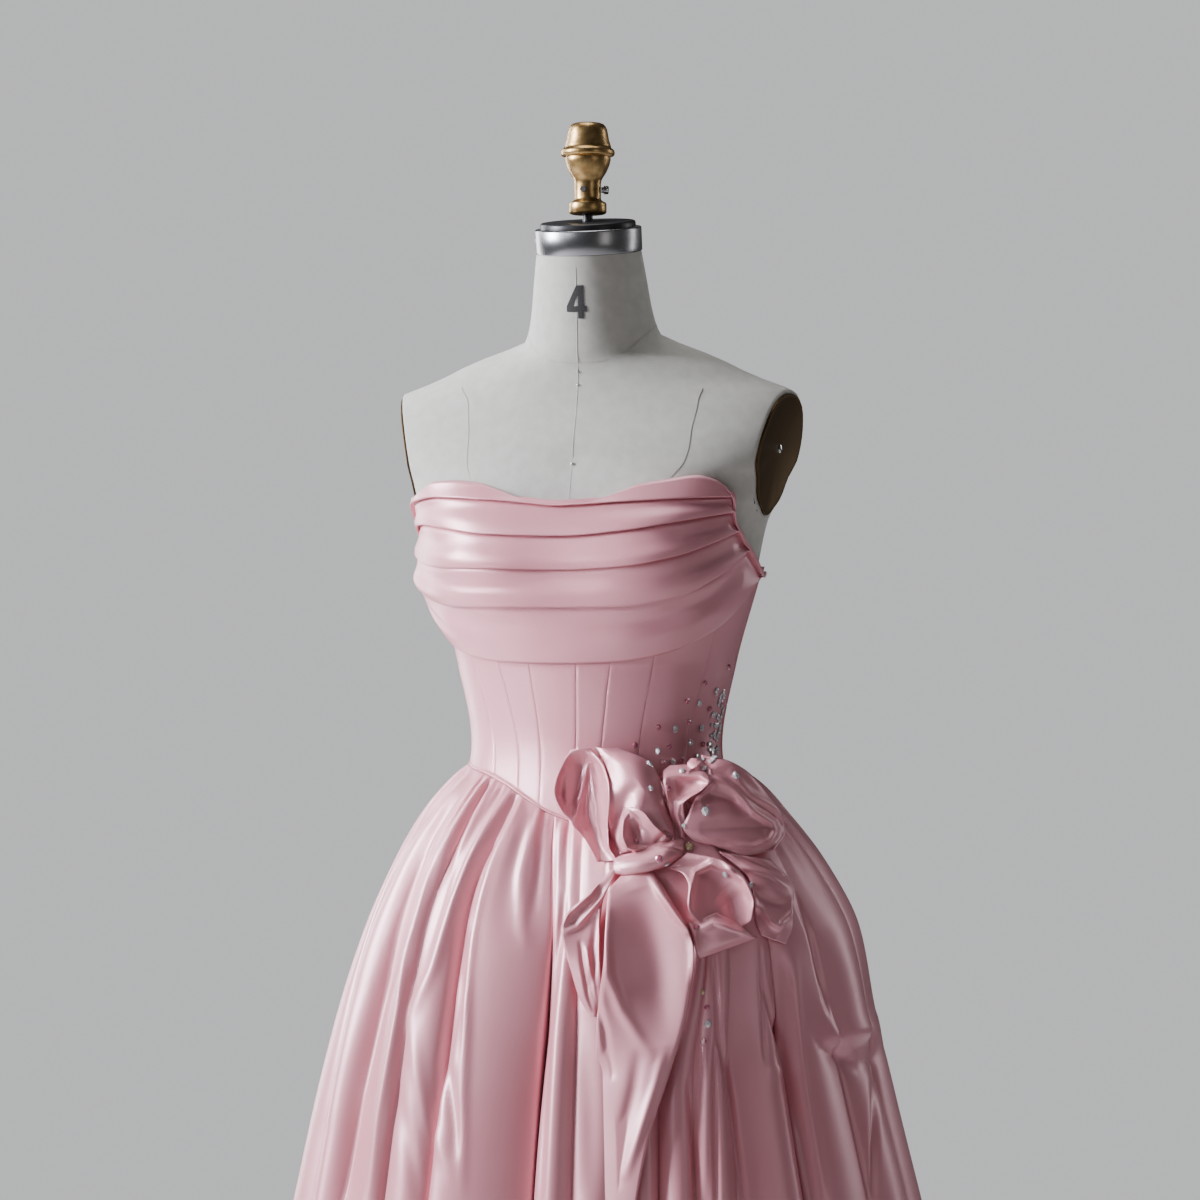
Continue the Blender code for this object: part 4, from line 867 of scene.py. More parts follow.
def make_bodice(satin):
    turn = np.linspace(0, math.pi, BODICE_FINE_COLUMNS + 1)
    columns = (0.5 - 0.5 * np.cos(turn))[None, :]
    rows = np.linspace(0, 1, BODICE_FINE_ROWS + 1)[:, None]
    levels = (0.0, BODICE_SEAM_MIDDLE, 1.0)
    pieces = []
    for name, before, after in zip(BODICE_PANELS, BODICE_SEAMS, BODICE_SEAMS[1:]):
        start = smooth(levels, before, rows)
        end = smooth(levels, after, rows)
        angle = start + columns * (end - start)
        bottom = waist_height(angle) + SEAM_GAP / 2
        height = bottom + rows * (neck_height(angle) - bottom)
        half = follow(FORM_SECTIONS, "height", "half_width", height)
        from_seam = np.radians(np.minimum(angle - start, end - angle)) * half
        dip = SEAM_DIP * np.exp(-((from_seam / SEAM_HALF_WIDTH) ** 2))
        swell = SEAM_SWELL * np.exp(-(((from_seam - 0.004) / 0.002) ** 2))
        level = waves(angle, height, BODICE_WAVES)
        grid = torso(angle, height, BODICE_OUT - dip + swell + level, "bodice")
        piece = sheet_object(f"{name}_satin", grid, satin, from_pole, SHELL_WALL)
        pieces.append(own(piece, "pink_satin", name))
    return pieces


DRAPE_FINE_COLUMNS = 300
STRIP_ROWS = 20
HIDDEN_RISE = 0.006
ROLL_RADIUS = 0.0013
LOWEST_ROLL = 1.6
ROLL_STEPS = 7
RETURN_RISE = 0.006
TUCK_DEPTH = 0.0026
TUCK_SHARE = 0.16
STRIP_SAG = 0.0011
DRAPE_WAVES = ((0.10, 75.0, 0.2, 0.0004), (0.05, -120.0, 1.4, 0.0003), (0.21, 40.0, 0.8, 0.0002))


def drape_heights(angle):
    """The heights of the drape's top and five folded edges, which crowd in under the neckline."""
    neck = neck_height(angle)
    edges = [neck + 0.001]
    for number, name in enumerate(("first", "second", "third", "fourth", "lowest"), 1):
        edge = follow(DRAPE_LINES, "angle", name, angle)
        edges.append(np.minimum(edge, neck + 0.001 - number * PLEAT_CLOSEST))
    edges[0] = np.maximum(edges[0], edges[1] + PLEAT_CLOSEST)
    return edges


def drape_offset(angle, height, edges, stand):
    down = np.clip((edges[0] - height) / (edges[0] - edges[-1]), 0, 1)
    held_off = stand * np.sin(math.pi * down**1.4)
    pressed = crease_depth(angle, height, DRAPE_CREASES, DEGREE_ON_BUST)
    return held_off - pressed + waves(angle, height, DRAPE_WAVES)


def make_drape(satin):
    angle = np.linspace(DRAPE_FROM, DRAPE_TO, DRAPE_FINE_COLUMNS + 1)
    edges = drape_heights(angle)
    stand = follow(DRAPE_LINES, "angle", "stand", angle)
    pieces = []
    for number, (top, bottom) in enumerate(zip(edges, edges[1:])):
        tall = top - bottom
        roll = np.minimum(ROLL_RADIUS * (LOWEST_ROLL if number == len(edges) - 2 else 1), tall * 0.42)
        rows = []
        if number:
            for share in (1.0, 0.5):
                rows.append((top + share * HIDDEN_RISE, DRAPE_RECESS - 0.0012 + 0 * top))
        else:
            rows.append((top - HIDDEN_RISE, DRAPE_INSIDE + 0 * top))
            rows.append((top - 0.0012, DRAPE_INSIDE + 0 * top))
        for share in np.linspace(0, 1, STRIP_ROWS + 1):
            height = top + share * (bottom + roll - top)
            out = DRAPE_RECESS + (DRAPE_PROUD - DRAPE_RECESS) * share**1.5
            out -= TUCK_DEPTH * max(0.0, 1 - share / TUCK_SHARE) ** 2
            out -= STRIP_SAG * math.sin(2 * math.pi * share) * (number > 0)
            rows.append((height, out + 0 * top))
        for turn in np.linspace(0, math.pi, ROLL_STEPS + 1)[1:]:
            height = bottom + roll - roll * math.sin(turn)
            rows.append((height, DRAPE_PROUD - roll + roll * math.cos(turn)))
        for share in (0.5, 1.0):
            height = bottom + roll + share * np.minimum(RETURN_RISE, tall * 0.8)
            rows.append((height, DRAPE_PROUD - 2 * roll - 0.0004 * share))
        grid = []
        for height, out in rows:
            extra = drape_offset(angle, height, edges, stand)
            grid.append(torso(angle, height, out + extra, "drape"))
        name = f"bust_drape_pleat_{number + 1}"
        piece = sheet_object(name, np.array(grid), satin, from_pole)
        pieces.append(own(piece, "pink_satin"))
    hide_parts("bust_drape")
    return pieces


PETAL_SHELL = 0.0008
PETAL_STEPS = 14
PETAL_FINE_COLUMNS = 58
PETAL_LEAST = 0.0012
EDGE_ROLL = 0.0022
EDGE_ROLL_SHARE = 0.025
# Folds pressed into the rosette, along the photograph's pixels; depths are in millimetres.
ROSETTE_CREASES = {
    "calla_streak": Crease(3, -4.0, ((588, 760), (587, 767), (583, 786), (577, 811), (573, 826), (570, 834))),
    "calla_hollow": Crease(4, 5.0, ((566, 768), (561, 779), (560, 797), (565, 817), (570, 828))),
    "calla_middle": Crease(7, 8.0, ((591, 762), (592, 769), (595, 794), (595, 820), (602, 851), (613, 865))),
    "calla_rim": Crease(3, -5.0, ((590, 754), (594, 758), (604, 770), (609, 786), (608, 815),
        (609, 844), (617, 863))),
    "lower_rim": Crease(3, -6.0, ((553, 797), (563, 819), (579, 836), (594, 858),
        (598, 877), (592, 892), (567, 915), (561, 926))),
    "lower_hollow": Crease(6, 7.0, ((568, 830), (572, 840), (583, 865), (574, 897), (564, 915))),
    "tail_band": Crease(3, -4.0, ((563, 930), (567, 931), (577, 926), (599, 901), (612, 882), (620, 870))),
    "puff_hollow": Crease(8, 9.0, ((640, 786), (629, 794), (617, 815), (611, 840), (614, 856))),
    "inner_rim": Crease(2, -3.5, ((640, 822), (635, 817), (629, 812), (624, 819),
        (622, 836), (627, 849), (647, 847), (656, 843))),
    "inner_hollow": Crease(5, 5.0, ((630, 818), (633, 826), (637, 842), (640, 848))),
    "swirl": Crease(2.5, 4.0, ((656, 846), (658, 840), (665, 833), (672, 836), (668, 843), (660, 846))),
    "under_swirl": Crease(2, 3.5, ((664, 846), (669, 847), (683, 851), (688, 852))),
    "scallop_rim": Crease(3, -5.0, ((664, 780), (669, 776), (701, 776), (711, 783), (701, 794),
        (679, 802), (677, 815), (681, 829), (683, 845))),
    "scallop_hollow": Crease(8, 3.5, ((676, 786), (690, 784), (702, 784))),
    "scallop_dark": Crease(4, 6.0, ((664, 800), (669, 811), (674, 826), (678, 838))),
    "loop_rim": Crease(2, -3.0, ((686, 774), (692, 768), (701, 763), (710, 770), (712, 776))),
    "lobe_inner_rim": Crease(4, -6.0, ((711, 776), (733, 788), (754, 811), (772, 822),
        (777, 829), (772, 840), (754, 847), (726, 846))),
    "lobe_outer_rim": Crease(4, -5.0, ((728, 770), (751, 794), (777, 808),
        (790, 829), (786, 845), (767, 854), (746, 858))),
    "lobe_channel": Crease(3, 3.5, ((757, 802), (779, 820), (781, 836), (770, 847), (756, 851))),
    "lobe_shade": Crease(8, 5.0, ((700, 797), (710, 794), (733, 801), (748, 815))),
    "lobe_dent": Crease(8, 3.0, ((700, 832), (720, 830), (745, 829), (762, 836))),
    "lobe_line": Crease(2.5, 5.0, ((734, 855), (738, 857), (754, 863), (776, 872), (790, 880))),
    "lobe_fold": Crease(2.5, -3.0, ((716, 846), (719, 851), (727, 865), (734, 872))),
    "knot_line": Crease(3, 3.5, ((684, 832), (690, 836), (708, 844), (718, 848))),
    "bowl_rim": Crease(3, -6.0, ((688, 919), (690, 894), (695, 872), (711, 863), (729, 870),
        (745, 881), (754, 901), (752, 920), (747, 933))),
    "bowl_hollow": Crease(10, 10.0, ((722, 892), (733, 901), (738, 919), (735, 930))),
    "gap_line": Crease(2.5, 6.0, ((664, 866), (667, 872), (676, 892), (686, 915), (692, 928))),
    "leaf_ridge": Crease(4, -6.0, ((647, 872), (651, 876), (661, 894), (679, 919),
        (694, 933), (695, 954), (694, 985))),
    "leaf_hollow": Crease(18, 6.0, ((636, 890), (645, 915), (652, 945), (656, 985), (664, 1045))),
    "leaf_band": Crease(6, -4.0, ((606, 905), (604, 935), (608, 975), (622, 1010), (640, 1040), (655, 1060))),
    "leaf_side": Crease(4, 4.0, ((598, 915), (594, 945), (592, 985), (604, 1030), (612, 1080))),
    "leaf_foot": Crease(5, -3.5, ((664, 1050), (655, 1085), (640, 1130), (624, 1180))),
    "leaf_foot_hollow": Crease(7, 4.0, ((640, 1050), (634, 1090), (622, 1140), (612, 1190))),
    "tail_fold": Crease(2.5, -3.0, ((586, 945), (590, 965), (594, 990), (598, 1010))),
    "tail_fold_two": Crease(2.5, 3.0, ((580, 940), (583, 965), (588, 995), (594, 1014))),
    "flap_edge": Crease(3, -4.0, ((694, 932), (713, 922), (738, 929), (759, 941))),
    "zigzag": Crease(3, -4.0, ((756, 904), (772, 922), (779, 926), (794, 911))),
    "zigzag_hollow": Crease(6, 5.0, ((756, 908), (758, 911), (769, 929), (778, 936))),
    "crumple_edge": Crease(3, -4.0, ((788, 897), (797, 899), (797, 919), (795, 945), (790, 954))),
    "crumple_fold": Crease(3, -4.0, ((756, 940), (775, 946), (794, 953))),
    "crumple_top": Crease(3, -4.0, ((727, 868), (748, 868), (770, 874), (792, 890))),
}


def petal_curl(columns):
    """How far the two long edges of a petal roll back, across its width."""
    t = np.linspace(0, 1, columns)
    edge = np.minimum(t, 1 - t)
    return EDGE_ROLL * np.exp(-((edge / EDGE_ROLL_SHARE) ** 2))[None, :]


def make_rosette(satin):
    across, up, _ = petal_grid(ROSETTE_BACKING, 6, 24)
    pieces = []
    backing = on_hip(across, up, np.full_like(across, BACKING_GAP + 0.004))
    piece = sheet_object("hip_rosette_backing", backing, satin, to_rosette_side, PETAL_SHELL)
    pieces.append(own(piece, "pink_satin", "hip_rosette"))
    for name, sections in PETALS.items():
        across, up, lift = petal_grid(sections, PETAL_STEPS, PETAL_FINE_COLUMNS)
        x, y = seen(on_hip(across, up, lift))
        pressed = lift - crease_depth(x, y, ROSETTE_CREASES) / 1000 - petal_curl(PETAL_FINE_COLUMNS)
        grid = on_hip(across, up, np.maximum(pressed, np.minimum(lift, PETAL_LEAST)))
        piece = sheet_object(f"rosette_{name}", grid, satin, to_rosette_side, PETAL_SHELL)
        pieces.append(own(piece, "pink_satin"))
    return pieces


# The dress form's cover, in fine steps, with its pins and seams.
FORM_FINE_STEP = 3
FORM_FINE_RISE = 0.008
DIMPLE_HEIGHT = 1.3375
DIMPLE_RADIUS = 0.010
DIMPLE_DEPTH = 0.0022


def form_point(angle, height, out=0.0):
    """Points on the form's cover, with the small dimple at the middle of the chest."""
    flat = torso(angle, height, out)
    from_dimple = np.hypot(np.radians(wrapped(angle)) * 0.15, np.asarray(height) - DIMPLE_HEIGHT)
    flat[..., 1] += DIMPLE_DEPTH * np.exp(-((from_dimple / DIMPLE_RADIUS) ** 2)) * (abs(wrapped(angle)) < 60)
    return flat


def ring_rows(body, rings):
    """Skins rings of points, from bottom to top, and caps both ends."""
    verts = [[body.verts.new(point) for point in ring] for ring in rings]
    for lower, upper in zip(verts, verts[1:]):
        for j, start in enumerate(lower):
            after = (j + 1) % len(lower)
            body.faces.new((start, lower[after], upper[after], upper[j]))
    body.faces.new(verts[0][::-1])
    body.faces.new(verts[-1])


def cut_plane(side):
    level = math.cos(ARM_PLATE_DROOP)
    normal = (
        side * math.cos(ARM_PLATE_TURN) * level,
        -math.sin(ARM_PLATE_TURN) * level,
        -math.sin(ARM_PLATE_DROOP),
    )
    return (side * ARM_PLATE_ACROSS, ARM_PLATE_BEHIND, ARM_PLATE_HEIGHT), normal


def cut_arm(body, side):
    """Cuts the form flat at one armhole and returns the outline of the cut."""
    place, normal = cut_plane(side)
    verts = [vert for vert in body.verts if vert.co.z > ARM_CUT_ABOVE]
    edges = [edge for edge in body.edges if all(vert.co.z > ARM_CUT_ABOVE for vert in edge.verts)]
    faces = [face for face in body.faces if all(vert.co.z > ARM_CUT_ABOVE for vert in face.verts)]
    upper = verts + edges + faces
    cut = bmesh.ops.bisect_plane(body, geom=upper, plane_co=place, plane_no=normal, clear_outer=True)
    edges = [piece for piece in cut["geom_cut"] if isinstance(piece, bmesh.types.BMEdge)]
    filled = bmesh.ops.edgeloop_fill(body, edges=edges)["faces"]
    outline = np.array([vert.co[:] for vert in filled[0].verts])
    return outline, np.array(normal), edges


PLATE_RINGS = ((0.0, 1.0), (0.0016, 1.0), (0.0024, 0.985), (0.0026, 0.95), (0.0020, 0.90), (0.0020, 0.0))
PLATE_SCREW = ((0.0042, 0.0), (0.0042, 0.0008), (0.0030, 0.0018), (0.0, 0.0021))


def make_form(linen, bronze, steel):
    heights = np.arange(FORM_BOTTOM, NECK_TOP, FORM_FINE_RISE)
    heights = np.append(heights, NECK_TOP)[:, None]
    angles = np.arange(-180, 180, FORM_FINE_STEP)[None, :]
    body = bmesh.new()
    ring_rows(body, form_point(angles, heights))
    outlines = {}
    for name, side in (("left", 1), ("right", -1)):
        outline, normal, edges = cut_arm(body, side)
        outlines[name] = (outline, normal)
        bmesh.ops.bevel(body, geom=edges, offset=0.0015, segments=3, affect="EDGES", profile=0.6)
    cover = new_object("form_cover", body, linen, 50)
    own(cover, "linen", "form_body")
    for name, (outline, normal) in outlines.items():
        middle = outline.mean(axis=0)
        rim = (outline - middle) * ARM_PLATE_SHARE
        plate = bmesh.new()
        rings = [middle + rim * max(share, 0.01) + normal * (SEAM_GAP + out) for out, share in PLATE_RINGS]
        ring_rows(plate, rings)
        own(new_object(f"arm_plate_{name}_disc", plate, bronze, 30), "dark_bronze", f"arm_plate_{name}")
        screw = turned_object(f"arm_plate_{name}_screw", PLATE_SCREW, steel, 24)
        screw.rotation_euler = Vector(normal).to_track_quat("Z", "Y").to_euler()
        screw.location = middle + normal * (SEAM_GAP + PLATE_RINGS[-1][0])
        own(screw, "steel")


def turned_object(name, profile, material, sides=64, sharp=35):
    """A solid turned about the Z axis from (radius, height) rows."""
    turns = np.linspace(0, 2 * math.pi, sides, endpoint=False)
    ring = np.stack([np.cos(turns), np.sin(turns), np.zeros(sides)], axis=-1)
    body = bmesh.new()
    ring_rows(body, [ring * max(radius, 1e-4) + (0, 0, height) for radius, height in profile])
    bmesh.ops.recalc_face_normals(body, faces=body.faces)
    return new_object(name, body, material, sharp)


# Seam lines on the form's cover, as (angle, height) points from top to bottom.
SEAM_LINES = {
    "centre_front": ((0, 1.533), (0, 1.46), (0, 1.38), (0, 1.30)),
    "centre_back": ((180, 1.533), (180, 1.40), (180, 1.232)),
    "princess_right": ((-48.8, 1.4185), (-35, 1.405), (-29, 1.385), (-27.5, 1.365),
        (-28.5, 1.345), (-31.2, 1.3215)),
    "princess_left": ((43.2, 1.414), (36.5, 1.405), (30.5, 1.385), (29, 1.365), (29.5, 1.345), (30, 1.322)),
    "princess_back_right": ((-132, 1.4185), (-140, 1.36), (-146, 1.29), (-150, 1.232)),
    "princess_back_left": ((132, 1.4185), (140, 1.36), (146, 1.29), (150, 1.232)),
}
SEAM_RIDGE_HALF = 0.0007
SEAM_RIDGE_RISE = 0.00025
SEAM_RIDGE_LIFT = 0.00006
NECK_SEAM_FOOT = 1.4475
NECK_SEAM_RISE = 0.022


def make_ribbon(name, angles, heights, half, rise, material):
    """A narrow raised line that follows the form's cover."""
    middle = form_point(angles, heights)
    way = np.gradient(middle, axis=0)
    outward = form_point(angles, heights, 0.001) - middle
    side = np.cross(way, outward)
    side /= np.linalg.norm(side, axis=-1, keepdims=True)
    outward /= np.linalg.norm(outward, axis=-1, keepdims=True)
    grid = []
    for t in (-1, -0.5, 0, 0.5, 1):
        grid.append(middle + side * half * t + outward * (rise * (1 - t * t) + SEAM_RIDGE_LIFT))
    own(sheet_object(name, np.array(grid), material, from_pole), "linen")


def make_form_seams(thread):
    for name, points in SEAM_LINES.items():
        t = np.linspace(0, 1, 80)
        rows = np.linspace(0, 1, len(points))
        angles = smooth(rows, [point[0] for point in points], t)
        heights = smooth(rows, [point[1] for point in points], t)
        make_ribbon(f"form_seam_{name}", angles, heights, SEAM_RIDGE_HALF, SEAM_RIDGE_RISE, thread)
    angles = np.linspace(-180, 180, 160)
    heights = NECK_SEAM_FOOT + NECK_SEAM_RISE * np.sin(np.radians(angles)) ** 2
    make_ribbon("form_seam_neck", angles, heights, SEAM_RIDGE_HALF, SEAM_RIDGE_RISE, thread)


# The numeral on the neck is a plain printed size, drawn with straight strokes in millimetres.
NUMERAL_HEIGHT = 1.5020
NUMERAL_STROKES = (
    ((1.6, -14.5), (7.4, -14.5), (7.4, 14.5), (1.6, 14.5)),
    ((-9.8, -8.8), (10.2, -8.8), (10.2, -3.8), (-9.8, -3.8)),
    ((-9.8, -3.8), (-4.0, -3.8), (4.8, 12.4), (0.2, 14.5)),
)
NUMERAL_OUT = 0.00050
NUMERAL_STEPS = 12


def make_numeral(ink_and_hole_shade):
    for number, (a, b, c, d) in enumerate(NUMERAL_STROKES):
        t = np.linspace(0, 1, NUMERAL_STEPS)[None, :, None]
        s = np.linspace(0, 1, NUMERAL_STEPS)[:, None, None]
        low = np.array(a) * (1 - t) + np.array(b) * t
        high = np.array(d) * (1 - t) + np.array(c) * t
        flat = low * (1 - s) + high * s
        height = NUMERAL_HEIGHT + flat[..., 1] / 1000
        half = follow(FORM_SECTIONS, "height", "half_width", height)
        angle = np.degrees(np.arcsin(flat[..., 0] / 1000 / half))
        grid = form_point(angle, height, NUMERAL_OUT + number * 0.00002)
        own(sheet_object(f"neck_numeral_stroke_{number + 1}", grid, ink_and_hole_shade, from_pole), "black_paint")


FINIAL_FINE = (
    (0.0150, 0.0000), (0.0172, 0.0006), (0.0185, 0.0020), (0.0185, 0.0100), (0.0178, 0.0116),
    (0.0160, 0.0124), (0.0142, 0.0134), (0.0131, 0.0150), (0.0130, 0.0170), (0.0130, 0.0300),
    (0.0136, 0.0335), (0.0150, 0.0362), (0.0168, 0.0388), (0.0186, 0.0418), (0.0200, 0.0448),
    (0.0214, 0.0486), (0.0223, 0.0520), (0.0226, 0.0545), (0.0222, 0.0560), (0.0236, 0.0566),
    (0.0256, 0.0574), (0.0264, 0.0588), (0.0266, 0.0610), (0.0260, 0.0628), (0.0244, 0.0642),
    (0.0232, 0.0650), (0.0229, 0.0668), (0.0221, 0.0694), (0.0211, 0.0726), (0.0204, 0.0760),
    (0.0198, 0.0796), (0.0190, 0.0832), (0.0178, 0.0860), (0.0158, 0.0882), (0.0130, 0.0894),
    (0.0090, 0.0900), (0.0001, 0.0902),
)
SCREW_RADIUS = 0.0042
SCREW_HEIGHT = FINIAL_FOOT + 0.024
SCREW_TURN = math.radians(15)
FINIAL_HOLE_HEIGHT = 0.024
FINIAL_HOLE_TURN = math.radians(-96)


def make_neck_fittings(chrome, black, brass, steel, hole_shade):
    tilt = (NECK_TILT, 0, 0)
    foot = (0, 0, NECK_TOP)
    r = NECK_BAND_RADIUS
    h = NECK_BAND_HEIGHT
    band = turned_object(
        "neck_band_ring",
        ((r - 0.0012, 0.0003), (r - 0.0004, 0.0006), (r, 0.0014),
         (r, h - 0.0014), (r - 0.0004, h - 0.0006), (r - 0.0012, h)),
        chrome,
        96,
    )
    cap_foot = h + SEAM_GAP
    cap_top = cap_foot + NECK_CAP_HEIGHT
    c = NECK_CAP_RADIUS
    cap = turned_object(
        "neck_cap_disc",
        ((c, cap_foot), (c, cap_top - 0.0022), (c - 0.0006, cap_top - 0.0010),
         (c - 0.0018, cap_top - 0.0003), (c - 0.004, cap_top), (0.0, cap_top)),
        black,
        80,
    )
    for piece, slot, node in ((band, "brushed_chrome", "neck_band"), (cap, "black_paint", "neck_cap")):
        piece.rotation_euler = tilt
        piece.location = foot
        own(piece, slot, node)
    place = (0, -cap_top * math.sin(NECK_TILT), FINIAL_FOOT)
    rod_low = NECK_TOP + cap_top * math.cos(NECK_TILT) - 0.0004
    rod = turned_object("neck_rod_bar", ((ROD_RADIUS, rod_low), (ROD_RADIUS, FINIAL_FOOT)), black, 40)
    rod.location = (0, place[1], 0)
    own(rod, "black_paint", "neck_rod")
    finial = turned_object("finial_turned", FINIAL_FINE, brass, 96, 50)
    finial.location = place
    own(finial, "brass", "finial")
    screw = turned_object(
        "finial_screw_head",
        ((SCREW_RADIUS * 0.7, 0.0), (SCREW_RADIUS * 0.7, 0.0022), (SCREW_RADIUS, 0.0026),
         (SCREW_RADIUS, 0.0062), (SCREW_RADIUS * 0.8, 0.0074), (0.0, 0.0075)),
        steel,
        24,
    )
    screw.rotation_euler = (0, math.pi / 2, SCREW_TURN)
    reach = 0.0130 + SEAM_GAP
    screw.location = (reach * math.cos(SCREW_TURN), place[1] + reach * math.sin(SCREW_TURN), SCREW_HEIGHT)
    own(screw, "steel", "finial_screw")
    # The finial's hole is not cut: a thin near-black disc on its surface is painted shade for the hole's
    # inside.
    hole_shade_disc = turned_object("finial_hole_painted_shade", ((0.0030, 0.0), (0.0030, 0.0003), (0.0, 0.0003)), hole_shade, 24)
    hole_shade_disc.rotation_euler = (0, math.pi / 2, FINIAL_HOLE_TURN)
    hole_shade_disc.location = (
        0.0130 * math.cos(FINIAL_HOLE_TURN),
        place[1] + 0.0130 * math.sin(FINIAL_HOLE_TURN),
        FINIAL_FOOT + FINIAL_HOLE_HEIGHT,
    )
    own(hole_shade_disc, "black_paint")


PIN_PLACES = ((0, 1.4370, 0.0013), (0, 1.4220, 0.0013), (0, DIMPLE_HEIGHT, 0.0019))


def make_pins(steel):
    for number, (angle, height, radius) in enumerate(PIN_PLACES):
        body = bmesh.new()
        bmesh.ops.create_uvsphere(body, u_segments=20, v_segments=12, radius=radius)
        pin = new_object(f"form_pin_{number + 1}", body, steel)
        pin.location = form_point(np.array(angle), np.array(height), 0.0003)
        own(pin, "steel")


def make_stand(black):
    r = BASE_RADIUS
    t = BASE_THICKNESS
    hub = BASE_HUB_RADIUS
    base = turned_object(
        "stand_base_plate",
        (
            (r - 0.003, 0.0), (r - 0.001, 0.0006), (r, 0.003), (r, t - 0.004), (r - 0.0012, t - 0.0014),
            (r - 0.006, t), (hub + 0.010, t + 0.0034), (hub + 0.002, t + 0.0048), (hub, t + 0.0070),
            (hub - 0.002, BASE_HUB_TOP - 0.006), (hub - 0.004, BASE_HUB_TOP - 0.001),
            (hub - 0.006, BASE_HUB_TOP), (0.0, BASE_HUB_TOP),
        ),
        black,
        128,
    )
    own(base, "black_paint", "stand_base")
    top = FORM_BOTTOM - SEAM_GAP
    under = top - FLANGE_THICKNESS
    pole = turned_object(
        "stand_pole_tube",
        (
            (POLE_RADIUS, BASE_HUB_TOP + SEAM_GAP), (POLE_RADIUS, under - 0.02),
            (POLE_RADIUS + 0.006, under - 0.016), (FLANGE_RADIUS - 0.002, under - 0.001),
            (FLANGE_RADIUS, under + 0.001), (FLANGE_RADIUS, top - 0.001), (FLANGE_RADIUS - 0.001, top),
        ),
        black,
        64,
    )
    own(pole, "black_paint", "stand_pole")


def make_placket(satin):
    """The lapped strip that covers the closing at the centre back."""
    heights = np.linspace(waist_height(180) + PLACKET_END, neck_height(180) - PLACKET_END, 80)[:, None]
    half = follow(FORM_SECTIONS, "height", "half_width", heights)
    t = np.linspace(-1, 1, 25)[None, :]
    angle = 180 + np.degrees(t * PLACKET_HALF_WIDTH / half)
    rise = PLACKET_WALL * np.clip((1 - abs(t)) / 0.12, 0, 1) ** 0.5
    grid = torso(wrapped(angle - 1e-6), heights, BODICE_OUT + PLACKET_LIFT + rise, "bodice")
    piece = sheet_object("back_placket_satin", grid, satin, from_pole)
    return own(piece, "pink_satin", "back_placket")


def tube(name, path, radius, material, sides=10):
    """A round cord of satin along a path of points."""
    way = np.gradient(path, axis=0)
    way /= np.linalg.norm(way, axis=-1, keepdims=True)
    side = np.cross(way, np.array([0.0, 0.0, 1.0]))
    side[np.linalg.norm(side, axis=-1) < 0.2] = (0.0, 1.0, 0.0)
    side /= np.linalg.norm(side, axis=-1, keepdims=True)
    up = np.cross(side, way)
    turns = np.linspace(0, 2 * math.pi, sides, endpoint=False)[:, None]
    rings = [at + radius * (np.cos(turns) * s + np.sin(turns) * u) for at, s, u in zip(path, side, up)]
    body = bmesh.new()
    ring_rows(body, rings)
    bmesh.ops.recalc_face_normals(body, faces=body.faces)
    return new_object(name, body, material, 60)


WAIST_PIPING_RADIUS = 0.0011
SIDE_PIPING_RADIUS = 0.0010
BINDING_RADIUS = 0.0013
FRONT_BINDING_RADIUS = 0.0010
FRONT_BINDING_FROM = 44
# Where the two bindings meet, the end of each sinks under the other.
BINDING_LAP = 5
BINDING_SINK = 0.0022


def make_piping(satin):
    angle = np.linspace(-180, 180, 400)
    path = torso(angle, waist_height(angle) + 0.0006, BODICE_OUT + 0.0002, "bodice")
    own(tube("waist_piping", path, WAIST_PIPING_RADIUS, satin), "pink_satin")
    levels = (0.0, BODICE_SEAM_MIDDLE, 1.0)
    t = np.linspace(0, 1, 120)
    for name, seam in (("left", BODICE_SEAMS[10]), ("right", BODICE_SEAMS[2])):
        angle = smooth(levels, seam, t)
        bottom = waist_height(angle)
        height = bottom + t * (neck_height(angle) - bottom)
        path = torso(angle, height, BODICE_OUT + 0.0002, "bodice")
        own(tube(f"side_piping_{name}", path, SIDE_PIPING_RADIUS, satin), "pink_satin")
    left = np.linspace(DRAPE_TO - BINDING_LAP, 180, 100)
    right = np.linspace(-180 + 1e-6, DRAPE_FROM, 100)
    angle = np.concatenate([left, right])
    sunk = BINDING_SINK * np.clip((DRAPE_TO - angle) / BINDING_LAP, 0, 1) * (angle > 0)
    path = torso(angle, neck_height(angle), BODICE_OUT - 0.0008 - sunk, "bodice")
    own(tube("back_neckline_binding", path, BINDING_RADIUS, satin), "pink_satin")
    angle = np.linspace(FRONT_BINDING_FROM, DRAPE_TO + BINDING_LAP, 160)
    rise = np.clip((angle - FRONT_BINDING_FROM) / 8, 0, 1) * np.clip((DRAPE_TO - angle) / 16, 0, 1)
    sunk = BINDING_SINK * np.clip((angle - DRAPE_TO) / BINDING_LAP, 0, 1)
    path = torso(angle, neck_height(angle) + 0.0004, BODICE_OUT + 0.0045 * rise - sunk, "drape")
    own(tube("front_neckline_binding", path, FRONT_BINDING_RADIUS, satin), "pink_satin")


def make_camera():
    camera = bpy.data.cameras.new("camera")
    camera.lens = LENS
    camera.sensor_width = SENSOR
    thing = bpy.data.objects.new("camera", camera)
    thing.location = CAMERA_PLACE
    thing.rotation_euler = (math.pi / 2, 0, CAMERA_TURN)
    bpy.context.scene.collection.objects.link(thing)
    bpy.context.scene.camera = thing


